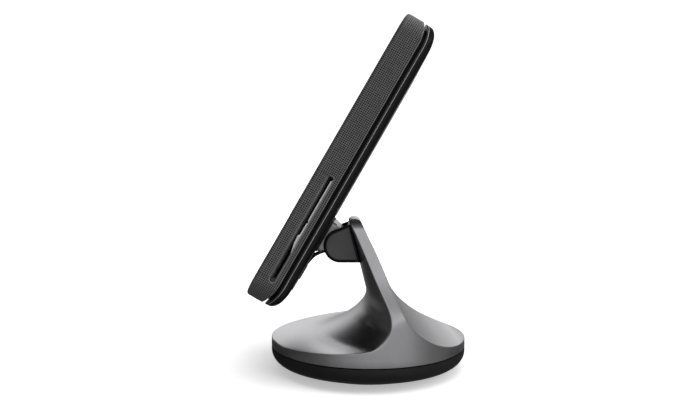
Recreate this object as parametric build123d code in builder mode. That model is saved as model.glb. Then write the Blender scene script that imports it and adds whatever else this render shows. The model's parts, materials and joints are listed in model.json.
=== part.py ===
from build123d import *
import os
from math import atan, cos, radians, sin, tan

# Card payment terminal on a tilting stand, in millimetres.
# The origin is the centre of the round base, on the table.  +Z is up, +X points to the back of
# the stand, and the screen faces -X and up.  The card slot is on the -Y side.

os.makedirs("parts", exist_ok=True)

# ---- Stand: driving sizes ----
base_radius = 51.7
tray_top = 11.6            # height of the black lower tray
seam_gap = 0.4             # dark line between the tray and the stand shell
rim_height = 16.4          # height of the shell's rim above the table
stand_height = 79.6        # top of the neck
neck_lean = 14.3           # lean of the neck's front from the vertical, degrees
neck_front_top = -10.6     # X of the neck's front at its top
neck_top_half_width = 34.0
neck_corner = 6.0
tray_wall = 2.8
foot_inset = 14.7            # from the base's edge to the foot ring
foot_width = 5.0
foot_height = 1.6
foot_proud = 0.8
underside_slope = 17.0
tray_round = 7.0
spigot_clearance = 0.3
shell_roof = 2.0
shell_wall = 2.4
plate_thickness = 4.4
plate_clearance = 4.6        # round the weight plate, inside the tray's wall
base_screw_inset = 4.0     # from the foot ring's edge to the base screws' axes
base_screw_radius = 1.5
base_boss_radius = 4.0
base_boss_depth = 3.0      # how far the bosses hang below the shell
base_head_radius = 2.6
base_head_thickness = 1.0

# ---- Tilt hinge ----
tilt = 60.0                # head from the horizontal, degrees
pivot_x = -14.4
pivot_z = 66.0
cheek_radius = 8.3
cheek_outer = 30.0         # half the hinge's width
cheek_thickness = 3.4
cheek_round = 1.2
cheek_top = 76.6
yoke_seat = 7.8            # tilt axis to the seat on the neck
yoke_web = 1.8
shaft_radius = 2.5
shaft_fit = 0.05           # running clearance on the radius
fixed_fit = 0.02           # clearance of the shaft in what holds it still
cover_thickness = 1.0
cover_inset = 1.5
cover_gap = 0.1
arm_radius = 5.6
arm_width = 12.6
washer_thickness = 0.8
washer_radius = 4.6
collar_width = 3.6
collar_radius = 4.4
side_gap = 0.1
yoke_screw_radius = 1.25
yoke_screw_y = 18.0
yoke_screw_step = 5.6

# ---- Head: driving sizes ----
head_length = 159.0
head_width = 78.0
head_thickness = 18.8
screen_to_pivot = 28.5     # from the screen's face to the tilt axis
head_bottom = -43.3        # bottom end of the head, along it from the tilt axis
corner_radius = 12.0
front_round = 2.0
band_depth = 12.7
band_wall = 2.6
seam_end_depth = 8.6       # the grip band is shallower at both ends
seam_run = 14.0
groove = 1.8               # between the grip band and the back cover
hull_depth = 10.6          # where the back's round ends start
hull_run = 14.5
side_round = 3.6
cover_wall = 1.8
glass_thickness = 1.1
rim_width = 1.7
piece_gap = 0.2            # between pieces laid on each other's side
chassis_wall = 1.4
deck_depth = 5.4           # the chassis's middle deck, from the screen's face
deck_thickness = 1.0
display_thickness = 2.6
coil_thickness = 0.4
board_depth = 12.4
board_thickness = 1.2
battery_depth = 6.6
battery_thickness = 5.4
post_radius = 2.6
head_screw_radius = 1.0
head_screw_across = 58.0
head_screw_along = 67.0
head_screw_middle = 66.5   # middle of the back cover's screws, along the head
cover_head_radius = 2.0

# ---- Card slot and reader ----
slot_length = 58.0
slot_width = 2.8
slot_depth = 8.4           # slot's middle, from the screen's face
slot_middle = -1.7         # slot's middle, along the head from the tilt axis
reader_length = 62.0
reader_reach = 46.0
reader_thickness = 4.0
card_gap = 1.2
contact_length = 34.0
contact_width = 1.0

# ---- Bracket between the hinge and the head ----
mount_plate_thickness = 1.0
flange_thickness = 2.0
flange_half = 8.3
flange_clearance = 0.6      # between the flange's ends and the cheeks
bracket_screw_radius = 1.5
bracket_screw_across = 16.0
bracket_screw_along = 7.0
bracket_screw_middle = -2.0
screw_head = 1.0           # how far a screw's head is wider than its shank
nut_plate_thickness = 1.6

# ---- Power button, on the far side ----
button_length = 12.0
button_width = 3.2
button_proud = 0.6
button_travel = 0.5
button_place = 84.0        # along the head from the tilt axis
button_depth = 6.2
button_clearance = 0.1

# ---- Lead, its glands and plugs ----
lead_radius = 1.0
plug_length = 12.5
plug_width = 8.4
plug_height = 4.4
plug_proud = 0.6
plug_start = -20.5         # plug's upper end, along the head from the tilt axis
duct_radius = 2.6
gland_radius = 2.9
gland_fit = 0.1
inlet_width = 9.4
inlet_height = 3.6
inlet_length = 8.0
inlet_z = 7.2

# ---- Frames that follow from the sizes ----
up_x = cos(radians(tilt))
up_z = sin(radians(tilt))
pivot = (pivot_x, 0, pivot_z)
head_side = Plane(origin=pivot, x_dir=(up_x, 0, up_z), z_dir=(0, 1, 0))
head_face = Plane(origin=pivot, x_dir=(0, -1, 0), z_dir=(-up_z, 0, up_x))
head_cross = Plane(origin=pivot, x_dir=(0, -1, 0), z_dir=(up_x, 0, up_z))
head_top = head_bottom + head_length
head_middle = (head_bottom + head_top) / 2
screen = -screen_to_pivot
head_back = screen + head_thickness
shell_bottom = tray_top + seam_gap
seat_normal = (-cos(radians(neck_lean)), 0, -sin(radians(neck_lean)))
seat_x = pivot_x - yoke_seat * seat_normal[0]
seat_z = pivot_z - yoke_seat * seat_normal[2]
yoke_plane = Plane(origin=(seat_x, 0, seat_z), x_dir=(0, -1, 0), z_dir=seat_normal)
cheek_inner = cheek_outer - cheek_thickness
arm_outer = cheek_inner - 2 * washer_thickness - 4 * side_gap
flange_width = 2 * (cheek_inner - flange_clearance)
foot_radius = base_radius - foot_inset
foot_inner = foot_radius - foot_width
base_screw_circle = 2 * (foot_radius - base_screw_inset)   # diameter through the base screws
tray_floor = foot_proud + tray_wall
plate_bottom = tray_floor
spigot_radius = base_radius - shell_wall - spigot_clearance
plate_radius = spigot_radius - shell_wall - plate_clearance
cavity_radius = base_radius - shell_wall
cavity_top = rim_height - shell_roof


def save(node, name):
    """Label a finished node and write it to its own file."""
    node.part.label = name
    export_step(node.part, "parts/" + name + ".step")


def face_at(depth):
    """The plane at a depth behind the screen's face, looking out of the screen."""
    return head_face.offset(screen_to_pivot - depth)


def head_point(along, back):
    """A point of the head's middle plane: along the head, and backwards, from the tilt axis."""
    return (pivot_x + along * up_x + back * up_z, 0, pivot_z + along * up_z - back * up_x)


def bracket_holes():
    """Places of the four screws that hold the bracket, in a plane parallel to the screen."""
    low = bracket_screw_middle - bracket_screw_along / 2
    high = bracket_screw_middle + bracket_screw_along / 2
    half = bracket_screw_across / 2
    return Locations((-half, low), (half, low), (-half, high), (half, high))


# ======================= Stand =======================

# Edge of the stand's front, seen from the side: rim, sweep and neck.
front_edge = [
    (-base_radius, rim_height), (-23.4, 17.5), (-1.9, 19.5), (6.0, 24.0), (9.4, 31.2), (8.2, 38.0),
]
# Sections of the neck and its sweep: height, edge of the front, edge of the back, half width.
low_half_width = base_radius + 1.0
sections = [
    (18.2, -12.0, 36.5, low_half_width),
    (20.2, 1.0, 31.5, low_half_width),
    (23.5, 5.7, 25.8, low_half_width),
    (27.6, 8.7, 20.9, low_half_width),
    (32.0, 9.4, 17.2, 50.4),
    (38.0, 8.2, 13.8, 47.3),
    (46.0, 4.5, 10.1, 43.0),
    (56.0, 0.1, 6.0, 39.2),
    (67.0, -4.8, 1.4, 36.3),
    (stand_height + 3.0, -10.8, -5.6, neck_top_half_width),
]
# How far the middle of the front stands forward of its edge, low down where it meets the dish.
dish_middle = {18.2: -30.0, 20.2: -23.0, 23.5: -15.5, 27.6: -8.6, 32.0: -3.2}


def neck_front(height):
    """X of the neck's front, in the middle, at a height."""
    return neck_front_top + (stand_height - height) * tan(radians(neck_lean))


def section_line(edge, middle, half_width, power):
    """Front of a section: edge to edge through the middle, flatter in the middle as power grows."""
    shares = [-1.0, -0.85, -0.65, -0.35, 0.0, 0.35, 0.65, 0.85, 1.0]
    return [(edge + (middle - edge) * (1 - abs(s) ** power), half_width * s) for s in shares]


with BuildPart() as stand_shell:
    for height, front, back, half_width in sections:
        low = height in dish_middle
        middle = dish_middle[height] if low else min(neck_front(height), front)
        with BuildSketch(Plane.XY.offset(height)):
            with BuildLine():
                Spline(*section_line(front, middle, half_width, 2.0 if low else 4.0))
                Polyline((front, half_width), (back, half_width), (back, -half_width), (front, -half_width))
            make_face()
    loft(ruled=True)
    # The round base with its rim.
    with BuildSketch(Plane.XZ):
        with BuildLine():
            edge = Spline(*front_edge)
            Polyline(
                edge @ 1, (13.8, 38.0), (17.9, 31.0), (26.8, 22.8), (37.0, 18.0), (46.3, rim_height),
                (base_radius, rim_height), (base_radius, shell_bottom), (-base_radius, shell_bottom),
                edge @ 0,
            )
        make_face()
    extrude(amount=base_radius + 2, both=True)
    with BuildSketch(Plane.XY.offset(shell_bottom)):
        Circle(base_radius)
    extrude(amount=stand_height, mode=Mode.INTERSECT)
    # Rounded top corners of the neck, seen from the front, and its rounded top, seen from the side.
    with BuildSketch(Plane.YZ):
        with BuildLine():
            flare = [(half_width, height) for height, _, _, half_width in sections[3:-1]]
            flare = [(low_half_width, shell_bottom - 1)] + flare + [(neck_top_half_width, stand_height)]
            Polyline(*flare, *[(-across, height) for across, height in reversed(flare)], close=True)
        corners = make_face()
        fillet(corners.vertices().group_by(Axis.Y)[-1], radius=neck_corner)
    extrude(amount=base_radius + 2, both=True, mode=Mode.INTERSECT)
    # Room under the shell, the neck's duct and the seat of the hinge yoke.
    with BuildSketch(Plane.XY.offset(shell_bottom)):
        Circle(cavity_radius)
    extrude(amount=cavity_top - shell_bottom, mode=Mode.SUBTRACT)
    with BuildSketch(yoke_plane):
        yoke_bottom = pivot_z - cheek_radius
        with Locations((0, ((cheek_top + yoke_bottom) / 2 - seat_z) / cos(radians(neck_lean)))):
            Rectangle(
                2 * cheek_outer + piece_gap,
                (cheek_top - yoke_bottom + piece_gap) / cos(radians(neck_lean)),
            )
    extrude(amount=yoke_seat, mode=Mode.SUBTRACT)
    # Bosses for the base screws.
    with BuildSketch(Plane.XY.offset(shell_bottom - base_boss_depth)):
        with PolarLocations(base_screw_circle / 2, 4, start_angle=45):
            Circle(base_boss_radius)
    extrude(amount=base_boss_depth + cavity_top - shell_bottom + 1)
    with BuildSketch(Plane.XY.offset(shell_bottom - base_boss_depth)):
        with PolarLocations(base_screw_circle / 2, 4, start_angle=45):
            Circle(base_screw_radius)
    extrude(amount=base_boss_depth + 1, mode=Mode.SUBTRACT)

# The duct for the lead: up the neck, then out of the middle of the yoke's seat.
duct_foot = (9.5, 0, cavity_top - 1)
duct_bend = (-0.6, 0, 58.9)
gland_aim = (-13.0, 0, 62.2)
gland_dir = Vector(*gland_aim) - Vector(*duct_bend)
gland_share = (Vector(seat_x, 0, seat_z) - Vector(*duct_bend)).dot(Vector(*seat_normal))
gland_share = gland_share / gland_dir.dot(Vector(*seat_normal))
gland_plane = Plane(origin=Vector(*duct_bend) + gland_dir * gland_share, z_dir=gland_dir)
with BuildPart() as duct:
    with BuildLine():
        lower_run = Line(duct_foot, duct_bend)
    with BuildSketch(Plane(origin=duct_foot, z_dir=lower_run % 0)):
        Circle(duct_radius)
    extrude(amount=lower_run.length + 1.5)
    with BuildSketch(Plane(origin=duct_bend, z_dir=gland_dir)):
        Circle(gland_radius)
    extrude(amount=20)
    with Locations(duct_bend):
        Sphere(gland_radius + 0.6)
with BuildPart() as stand_shell_done:
    add(stand_shell.part - duct.part)
    # Threaded holes for the yoke's screws.
    with BuildSketch(yoke_plane):
        with GridLocations(2 * yoke_screw_y, 2 * yoke_screw_step, 2, 2):
            Circle(yoke_screw_radius)
    extrude(amount=-4.5, mode=Mode.SUBTRACT)
save(stand_shell_done, "stand_shell")

with BuildPart() as base_tray:
    with BuildSketch(Plane.XZ):
        slope_rise = (base_radius - foot_radius - 1) * tan(radians(underside_slope))
        with BuildLine():
            Polyline(
                (0, foot_proud), (foot_radius + 1, foot_proud), (base_radius, foot_proud + slope_rise),
                (base_radius, tray_top), (spigot_radius, tray_top), (spigot_radius, shell_bottom + 1),
                (0, shell_bottom + 1), close=True,
            )
        outline = make_face()
        fillet(outline.vertices().sort_by(Axis.X)[-2:].sort_by(Axis.Y)[0], radius=tray_round)
    revolve(axis=Axis.Z)
    with BuildSketch(Plane.XY.offset(tray_floor + 0.7)):
        Circle(spigot_radius - shell_wall)
    extrude(amount=shell_bottom, mode=Mode.SUBTRACT)
    with BuildSketch(Plane.XY.offset(tray_floor)):
        Circle(plate_radius + 0.5)
    extrude(amount=4, mode=Mode.SUBTRACT)
    # Groove for the rubber foot.
    with BuildSketch(Plane.XY):
        Circle(foot_radius + 0.1)
        Circle(foot_inner - 0.1, mode=Mode.SUBTRACT)
    extrude(amount=foot_height, mode=Mode.SUBTRACT)
    # Screw holes and the window for the power inlet.
    with BuildSketch(Plane.XY):
        with PolarLocations(base_screw_circle / 2, 4, start_angle=45):
            Circle(base_screw_radius + 0.2)
    extrude(amount=tray_floor + 1, mode=Mode.SUBTRACT)
    with BuildSketch(Plane.XY.offset(foot_height)):
        with PolarLocations(base_screw_circle / 2, 4, start_angle=45):
            Circle(base_head_radius + piece_gap)
    extrude(amount=base_head_thickness + 0.1, mode=Mode.SUBTRACT)
    with BuildSketch(Plane.YZ.offset(base_radius - 12)):
        with Locations((0, inlet_z)):
            SlotOverall(inlet_width + 2 * piece_gap, inlet_height + 2 * piece_gap)
    extrude(amount=14, mode=Mode.SUBTRACT)
save(base_tray, "base_tray")

with BuildPart() as weight_plate:
    with BuildSketch(Plane.XY.offset(plate_bottom)):
        Circle(plate_radius)
        with PolarLocations(base_screw_circle / 2, 4, start_angle=45):
            Circle(base_screw_radius + 0.6, mode=Mode.SUBTRACT)
        with Locations((plate_radius, 0)):
            Rectangle(24, inlet_width + 6, mode=Mode.SUBTRACT)
    extrude(amount=plate_thickness)
save(weight_plate, "weight_plate")

with BuildPart() as foot_ring:
    with BuildSketch(Plane.XY):
        Circle(foot_radius)
        Circle(foot_inner, mode=Mode.SUBTRACT)
    extrude(amount=foot_height)
    fillet(foot_ring.edges().group_by(Axis.Z)[0], radius=0.4)
save(foot_ring, "foot_ring")

with BuildPart() as base_screws:
    with BuildSketch(Plane.XY.offset(foot_height)):
        with PolarLocations(base_screw_circle / 2, 4, start_angle=45):
            Circle(base_screw_radius)
    extrude(amount=shell_bottom - foot_height - 0.2)
    with BuildSketch(Plane.XY.offset(foot_height)):
        with PolarLocations(base_screw_circle / 2, 4, start_angle=45):
            Circle(base_head_radius)
    extrude(amount=base_head_thickness)
save(base_screws, "base_screws")

with BuildPart() as power_inlet:
    with BuildSketch(Plane.YZ.offset(base_radius - inlet_length)):
        with Locations((0, inlet_z)):
            SlotOverall(inlet_width, inlet_height)
    extrude(amount=inlet_length - 1.4)
    with BuildSketch(Plane.YZ.offset(base_radius - inlet_length + 1)):
        with Locations((0, inlet_z)):
            SlotOverall(inlet_width - 0.8, inlet_height - 0.8)
    extrude(amount=inlet_length, mode=Mode.SUBTRACT)
    with BuildSketch(Plane.YZ.offset(base_radius - inlet_length + 0.5)):
        with Locations((0, inlet_z)):
            Rectangle(inlet_width - 3.6, 0.8)
    extrude(amount=inlet_length - 2.5)
save(power_inlet, "power_inlet")

inlet_board_length = 14.0
inlet_board_z = inlet_z - inlet_height / 2 - 1.0
with BuildPart() as inlet_board:
    with BuildSketch(Plane.XY.offset(inlet_board_z)):
        with Locations((base_radius - 6 - inlet_board_length / 2, 0)):
            Rectangle(inlet_board_length, inlet_width + 3)
    extrude(amount=0.9)
    with BuildSketch(Plane.XY.offset(inlet_board_z + 0.9)):
        with Locations((base_radius - 16.5, 0)):
            Rectangle(5, inlet_width)
    extrude(amount=2.2)
save(inlet_board, "inlet_board")


# ======================= Tilt hinge =======================

def cheek_outline(inset):
    """Outline of a hinge cheek, seen from the side: round in front, flat below, sloping above."""
    radius = cheek_radius - inset
    bottom = -radius
    top = cheek_top - pivot_z - inset
    seat = yoke_seat / cos(radians(neck_lean)) - inset
    back_bottom = seat - bottom * tan(radians(neck_lean))
    back_top = seat - top * tan(radians(neck_lean))
    touch = 120.0
    with BuildLine() as line:
        arc = CenterArc((0, 0), radius, 270, -(270 - touch))
        Polyline(arc @ 1, (back_top, top), (back_bottom, bottom), arc @ 0)
    return line.line


side_of_hinge = Plane(origin=pivot, x_dir=(1, 0, 0), z_dir=(0, -1, 0))

with BuildPart() as hinge_yoke:
    with BuildSketch(side_of_hinge.offset(-cheek_outer)):
        add(cheek_outline(0))
        make_face()
    extrude(amount=2 * cheek_outer)
    outer_edges = hinge_yoke.faces().sort_by(Axis.Y)[0].edges() + hinge_yoke.faces().sort_by(Axis.Y)[-1].edges()
    fillet(outer_edges, radius=cheek_round)
    # Between the cheeks only the web against the neck is left.
    with BuildSketch(yoke_plane.offset(yoke_web)):
        Rectangle(2 * cheek_inner, 60)
    extrude(amount=30, mode=Mode.SUBTRACT)
    # Recesses for the covers, the shaft's bore, the screws and the lead's way out.
    for side in (-1, 1):
        with BuildSketch(side_of_hinge.offset(-side * cheek_outer)):
            add(cheek_outline(cover_inset))
            make_face()
        extrude(amount=side * cover_thickness, mode=Mode.SUBTRACT)
    with BuildSketch(side_of_hinge.offset(-cheek_outer)):
        Circle(shaft_radius + fixed_fit)
    extrude(amount=2 * cheek_outer, mode=Mode.SUBTRACT)
    with BuildSketch(yoke_plane):
        with GridLocations(2 * yoke_screw_y, 2 * yoke_screw_step, 2, 2):
            Circle(yoke_screw_radius + 0.15)
    extrude(amount=yoke_web + 1, mode=Mode.SUBTRACT)
    with BuildSketch(yoke_plane.offset(yoke_web - 0.8)):
        with GridLocations(2 * yoke_screw_y, 2 * yoke_screw_step, 2, 2):
            Circle(yoke_screw_radius + 1.1)
    extrude(amount=2, mode=Mode.SUBTRACT)
    with BuildSketch(gland_plane.offset(-4)):
        Circle(gland_radius)
    extrude(amount=10, mode=Mode.SUBTRACT)
save(hinge_yoke, "hinge_yoke")

for name, side in (("cheek_cover_near", -1), ("cheek_cover_far", 1)):
    with BuildPart() as cheek_cover:
        with BuildSketch(side_of_hinge.offset(-side * (cheek_outer - 0.1))):
            add(cheek_outline(cover_inset + cover_gap))
            make_face()
        extrude(amount=side * (cover_thickness - 0.1))
    save(cheek_cover, name)

with BuildPart() as hinge_shaft:
    with BuildSketch(side_of_hinge.offset(-cheek_outer + cover_thickness + 0.1)):
        Circle(shaft_radius)
    extrude(amount=2 * (cheek_outer - cover_thickness - 0.1))
save(hinge_shaft, "hinge_shaft")

with BuildPart() as friction_washers:
    for side in (-1, 1):
        for place in (0, 1):
            start = side * (arm_outer + side_gap + place * (washer_thickness + side_gap))
            with BuildSketch(side_of_hinge.offset(-start)):
                Circle(washer_radius)
                Circle(shaft_radius + fixed_fit, mode=Mode.SUBTRACT)
            extrude(amount=-side * washer_thickness)
save(friction_washers, "friction_washers")

with BuildPart() as shaft_collars:
    for side in (-1, 1):
        start = side * (arm_outer - arm_width - side_gap)
        with BuildSketch(side_of_hinge.offset(-start)):
            Circle(collar_radius)
            Circle(shaft_radius + fixed_fit, mode=Mode.SUBTRACT)
        extrude(amount=side * collar_width)
save(shaft_collars, "shaft_collars")

with BuildPart() as yoke_screws:
    with BuildSketch(yoke_plane.offset(-4)):
        with GridLocations(2 * yoke_screw_y, 2 * yoke_screw_step, 2, 2):
            Circle(yoke_screw_radius)
    extrude(amount=4 + yoke_web - 0.2)
    with BuildSketch(yoke_plane.offset(yoke_web - 0.8)):
        with GridLocations(2 * yoke_screw_y, 2 * yoke_screw_step, 2, 2):
            Circle(yoke_screw_radius + 1.0)
    extrude(amount=0.7)
save(yoke_screws, "yoke_screws")

with BuildPart() as hinge_bracket:
    with BuildSketch(side_of_hinge.offset(-arm_outer)):
        Circle(arm_radius)
    extrude(amount=2 * arm_outer)
    # The arms reach from the flange to the axis.
    flange_back = head_back + mount_plate_thickness
    with BuildSketch(head_side):
        with BuildLine():
            Polyline(
                (-flange_half + 1.5, flange_back), (flange_half, flange_back),
                (flange_half - 0.9, flange_back + 4.4), (arm_radius * 0.8, 2.6), (0, arm_radius - 0.5),
                (-arm_radius * 0.95, 1.0), close=True,
            )
        make_face()
    extrude(amount=arm_outer, both=True)
    # The middle is open below, so that the lead can pass.
    with BuildSketch(head_side):
        with BuildLine():
            Polyline(
                (-40, flange_back + flange_thickness), (flange_half - 3.0, flange_back + flange_thickness),
                (flange_half - 3.6, 10), (-40, 10), close=True,
            )
        make_face()
    extrude(amount=arm_outer - arm_width, both=True, mode=Mode.SUBTRACT)
    with BuildSketch(head_face.offset(-flange_back)):
        RectangleRounded(flange_width, 2 * flange_half, 2.0)
    extrude(amount=-flange_thickness)
    with BuildSketch(side_of_hinge.offset(-arm_outer)):
        Circle(shaft_radius + shaft_fit)
    extrude(amount=2 * arm_outer, mode=Mode.SUBTRACT)
    with BuildSketch(head_face.offset(-flange_back)):
        with bracket_holes():
            Circle(bracket_screw_radius + 0.15)
    extrude(amount=-20, mode=Mode.SUBTRACT)
save(hinge_bracket, "hinge_bracket")

with BuildPart() as mount_plate:
    with BuildSketch(head_face.offset(-head_back)):
        RectangleRounded(flange_width, 2 * flange_half + 1.0, 2.0)
        with bracket_holes():
            Circle(bracket_screw_radius + 0.15, mode=Mode.SUBTRACT)
    extrude(amount=-mount_plate_thickness)
save(mount_plate, "mount_plate")


# ======================= Head =======================

def head_form(inset):
    """The head's outer form, moved inwards by inset on its sides and back."""
    low = head_bottom + inset
    high = head_top - inset
    back = head_back - inset
    ends = screen + hull_depth
    run = hull_run - inset
    with BuildPart() as form:
        with BuildSketch(head_side):
            with BuildLine():
                Line((low, ends), (low, screen))
                Line((low, screen), (high, screen))
                Line((high, screen), (high, ends))
                EllipticalCenterArc((high - run, ends), run, back - ends, start_angle=0, arc_size=90)
                Line((high - run, back), (low + run, back))
                EllipticalCenterArc((low + run, ends), run, back - ends, start_angle=90, arc_size=90)
            make_face()
        extrude(amount=head_width, both=True)
        with BuildSketch(head_face.offset(screen_to_pivot)):
            with Locations((0, head_middle)):
                RectangleRounded(head_width - 2 * inset, head_length - 2 * inset, corner_radius - inset)
        extrude(amount=-2 * head_thickness, mode=Mode.INTERSECT)
        with BuildSketch(head_cross.offset(head_middle)):
            with Locations((0, screen)):
                RectangleRounded(
                    head_width - 2 * inset, 2 * (head_thickness - inset), max(side_round - inset, 0.8)
                )
        extrude(amount=head_length, both=True, mode=Mode.INTERSECT)
    return form.part


def behind_seam(shift):
    """All that lies behind the grip band's back edge, with that edge moved backwards by shift."""
    middle = screen + band_depth + shift
    end = screen + seam_end_depth + shift
    slope = tan(2 * atan((middle - end) / seam_run))
    beyond = 6.0
    with BuildPart() as region:
        with BuildSketch(head_side):
            with BuildLine():
                low = TangentArc((head_bottom + seam_run, middle), (head_bottom, end), tangent=(-1, 0))
                high = TangentArc((head_top - seam_run, middle), (head_top, end), tangent=(1, 0))
                Line(low @ 0, high @ 0)
                Polyline(
                    high @ 1, (head_top + beyond, end - beyond * slope), (head_top + beyond, 40),
                    (head_bottom - beyond, 40), (head_bottom - beyond, end - beyond * slope), low @ 1,
                )
            make_face()
        extrude(amount=head_width, both=True)
    return region.part


with BuildPart() as grip_band:
    with BuildSketch(face_at(0)):
        with Locations((0, head_middle)):
            RectangleRounded(head_width, head_length, corner_radius)
    extrude(amount=-band_depth)
    fillet(grip_band.faces().sort_by(Axis(pivot, head_face.z_dir))[-1].edges(), radius=front_round)
    with BuildSketch(face_at(glass_thickness)):
        with Locations((0, head_middle)):
            RectangleRounded(
                head_width - 2 * band_wall, head_length - 2 * band_wall, corner_radius - band_wall
            )
    extrude(amount=-head_thickness, mode=Mode.SUBTRACT)
    with BuildSketch(face_at(0)):
        with Locations((0, head_middle)):
            RectangleRounded(
                head_width - 2 * rim_width, head_length - 2 * rim_width, corner_radius - rim_width
            )
    extrude(amount=-glass_thickness - 0.1, mode=Mode.SUBTRACT)
    add(behind_seam(0), mode=Mode.SUBTRACT)
    # The card slot, on the -Y side, and the power button's hole, on the +Y side.
    with BuildSketch(head_side.offset(-head_width / 2 - 1)):
        with Locations((slot_middle, screen + slot_depth)):
            SlotOverall(slot_length, slot_width)
    extrude(amount=head_width / 2, mode=Mode.SUBTRACT)
    with BuildSketch(head_side.offset(head_width / 2 + 1)):
        with Locations((button_place, screen + button_depth)):
            SlotOverall(button_length + 2 * button_clearance, button_width + 2 * button_clearance)
    extrude(amount=-head_width / 4, mode=Mode.SUBTRACT)
save(grip_band, "grip_band")

glass_edge = rim_width + piece_gap / 2
with BuildPart() as screen_glass:
    with BuildSketch(face_at(0)):
        with Locations((0, head_middle)):
            RectangleRounded(
                head_width - 2 * glass_edge, head_length - 2 * glass_edge, corner_radius - glass_edge
            )
    extrude(amount=-glass_thickness)
    fillet(screen_glass.faces().sort_by(Axis(pivot, head_face.z_dir))[-1].edges(), radius=0.4)
save(screen_glass, "screen_glass")

plug_end = plug_start - plug_length
recess_depth = plug_height - plug_proud + piece_gap
recess_span = (plug_end - piece_gap, plug_start + 9.0)
with BuildPart() as back_cover:
    add(head_form(0))
    add(behind_seam(groove), mode=Mode.INTERSECT)
    add(head_form(cover_wall), mode=Mode.SUBTRACT)
    # A pocket for the lead's plug, walled inside, and the holes for the screws.
    with BuildSketch(head_face.offset(-head_back)):
        with Locations((0, sum(recess_span) / 2)):
            Rectangle(plug_width + 2 * cover_wall, recess_span[1] - recess_span[0] + 2 * cover_wall)
    extrude(amount=recess_depth + cover_wall)
    with BuildSketch(head_face.offset(-head_back - 1)):
        with Locations((0, sum(recess_span) / 2)):
            Rectangle(plug_width + 2 * piece_gap, recess_span[1] - recess_span[0])
    extrude(amount=recess_depth + 1, mode=Mode.SUBTRACT)
    with BuildSketch(head_face.offset(-head_back - 1)):
        with bracket_holes():
            Circle(bracket_screw_radius + 0.15)
        with Locations((0, head_screw_middle)):
            with GridLocations(head_screw_across, head_screw_along, 2, 2):
                Circle(head_screw_radius + 0.15)
    extrude(amount=cover_wall + 2, mode=Mode.SUBTRACT)
    with BuildSketch(head_face.offset(-head_back - 1)):
        with Locations((0, head_screw_middle)):
            with GridLocations(head_screw_across, head_screw_along, 2, 2):
                Circle(cover_head_radius + 0.1)
    extrude(amount=1.8, mode=Mode.SUBTRACT)
save(back_cover, "back_cover")

chassis_edge = band_wall + piece_gap
with BuildPart() as chassis:
    add(head_form(chassis_edge))
    with BuildSketch(face_at(-1)):
        with Locations((0, head_middle)):
            Rectangle(head_width, head_length)
    extrude(amount=-1 - glass_thickness - piece_gap, mode=Mode.SUBTRACT)
    pocket_width = head_width - 2 * (chassis_edge + chassis_wall)
    pocket_length = head_length - 2 * (chassis_edge + chassis_wall)
    pocket_corner = corner_radius - chassis_edge - chassis_wall
    with BuildSketch(face_at(0)):
        with Locations((0, head_middle)):
            RectangleRounded(pocket_width, pocket_length, pocket_corner)
    extrude(amount=-deck_depth, mode=Mode.SUBTRACT)
    with BuildSketch(face_at(deck_depth + deck_thickness)):
        with Locations((0, head_middle)):
            RectangleRounded(pocket_width, pocket_length, pocket_corner)
    extrude(amount=-head_thickness, mode=Mode.SUBTRACT)
    # Posts for the back cover's screws, tied into the corners.
    with BuildSketch(face_at(deck_depth + deck_thickness)):
        with Locations((0, head_screw_middle)):
            with GridLocations(head_screw_across, head_screw_along, 2, 2):
                Circle(post_radius)
    extrude(amount=-(head_thickness - cover_wall - piece_gap - deck_depth - deck_thickness))
    with BuildSketch(face_at(deck_depth + deck_thickness)):
        with Locations((0, head_screw_middle)):
            with GridLocations(head_screw_across, head_screw_along, 2, 2):
                Circle(head_screw_radius)
    extrude(amount=-head_thickness, mode=Mode.SUBTRACT)
    # Windows for the card and for the power button.
    with BuildSketch(head_side.offset(-head_width / 2)):
        with Locations((slot_middle, screen + slot_depth)):
            SlotOverall(slot_length + 1, slot_width + 0.2)
    extrude(amount=head_width / 4, mode=Mode.SUBTRACT)
    with BuildSketch(head_side.offset(head_width / 2)):
        with Locations((button_place, screen + button_depth)):
            Rectangle(button_length + 4, button_width + 1.6)
    extrude(amount=-head_width / 8, mode=Mode.SUBTRACT)
save(chassis, "chassis")

with BuildPart() as display_panel:
    with BuildSketch(face_at(glass_thickness + piece_gap / 2)):
        with Locations((0, head_middle)):
            Rectangle(pocket_width - 2, pocket_length - 8)
    extrude(amount=-display_thickness)
save(display_panel, "display_panel")

coil_length = 52.0
coil_breadth = 40.0
with BuildPart() as antenna_coil:
    with BuildSketch(face_at(deck_depth - coil_thickness - piece_gap / 2)):
        with Locations((0, head_middle + 30)):
            RectangleRounded(coil_breadth, coil_length, 4.0)
            RectangleRounded(coil_breadth - 8, coil_length - 8, 2.0, mode=Mode.SUBTRACT)
    extrude(amount=-coil_thickness)
save(antenna_coil, "antenna_coil")

reader_front = deck_depth + deck_thickness + piece_gap / 2
reader_edge = head_width / 2 - chassis_edge - chassis_wall - piece_gap
with BuildPart() as card_reader:
    with BuildSketch(face_at(reader_front)):
        with Locations((reader_edge - reader_reach / 2, slot_middle)):
            Rectangle(reader_reach, reader_length)
    extrude(amount=-reader_thickness)
    with BuildSketch(head_side.offset(-reader_edge)):
        with Locations((slot_middle, screen + slot_depth)):
            Rectangle(slot_length - 2, card_gap)
    extrude(amount=reader_reach - 3, mode=Mode.SUBTRACT)
    # A flared mouth that leads the card in.
    with BuildSketch(head_side.offset(-reader_edge)):
        with Locations((slot_middle, screen + slot_depth)):
            Rectangle(slot_length, slot_width - 0.2)
    with BuildSketch(head_side.offset(-reader_edge + 3)):
        with Locations((slot_middle, screen + slot_depth)):
            Rectangle(slot_length - 2, card_gap)
    loft(mode=Mode.SUBTRACT)
save(card_reader, "card_reader")

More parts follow.
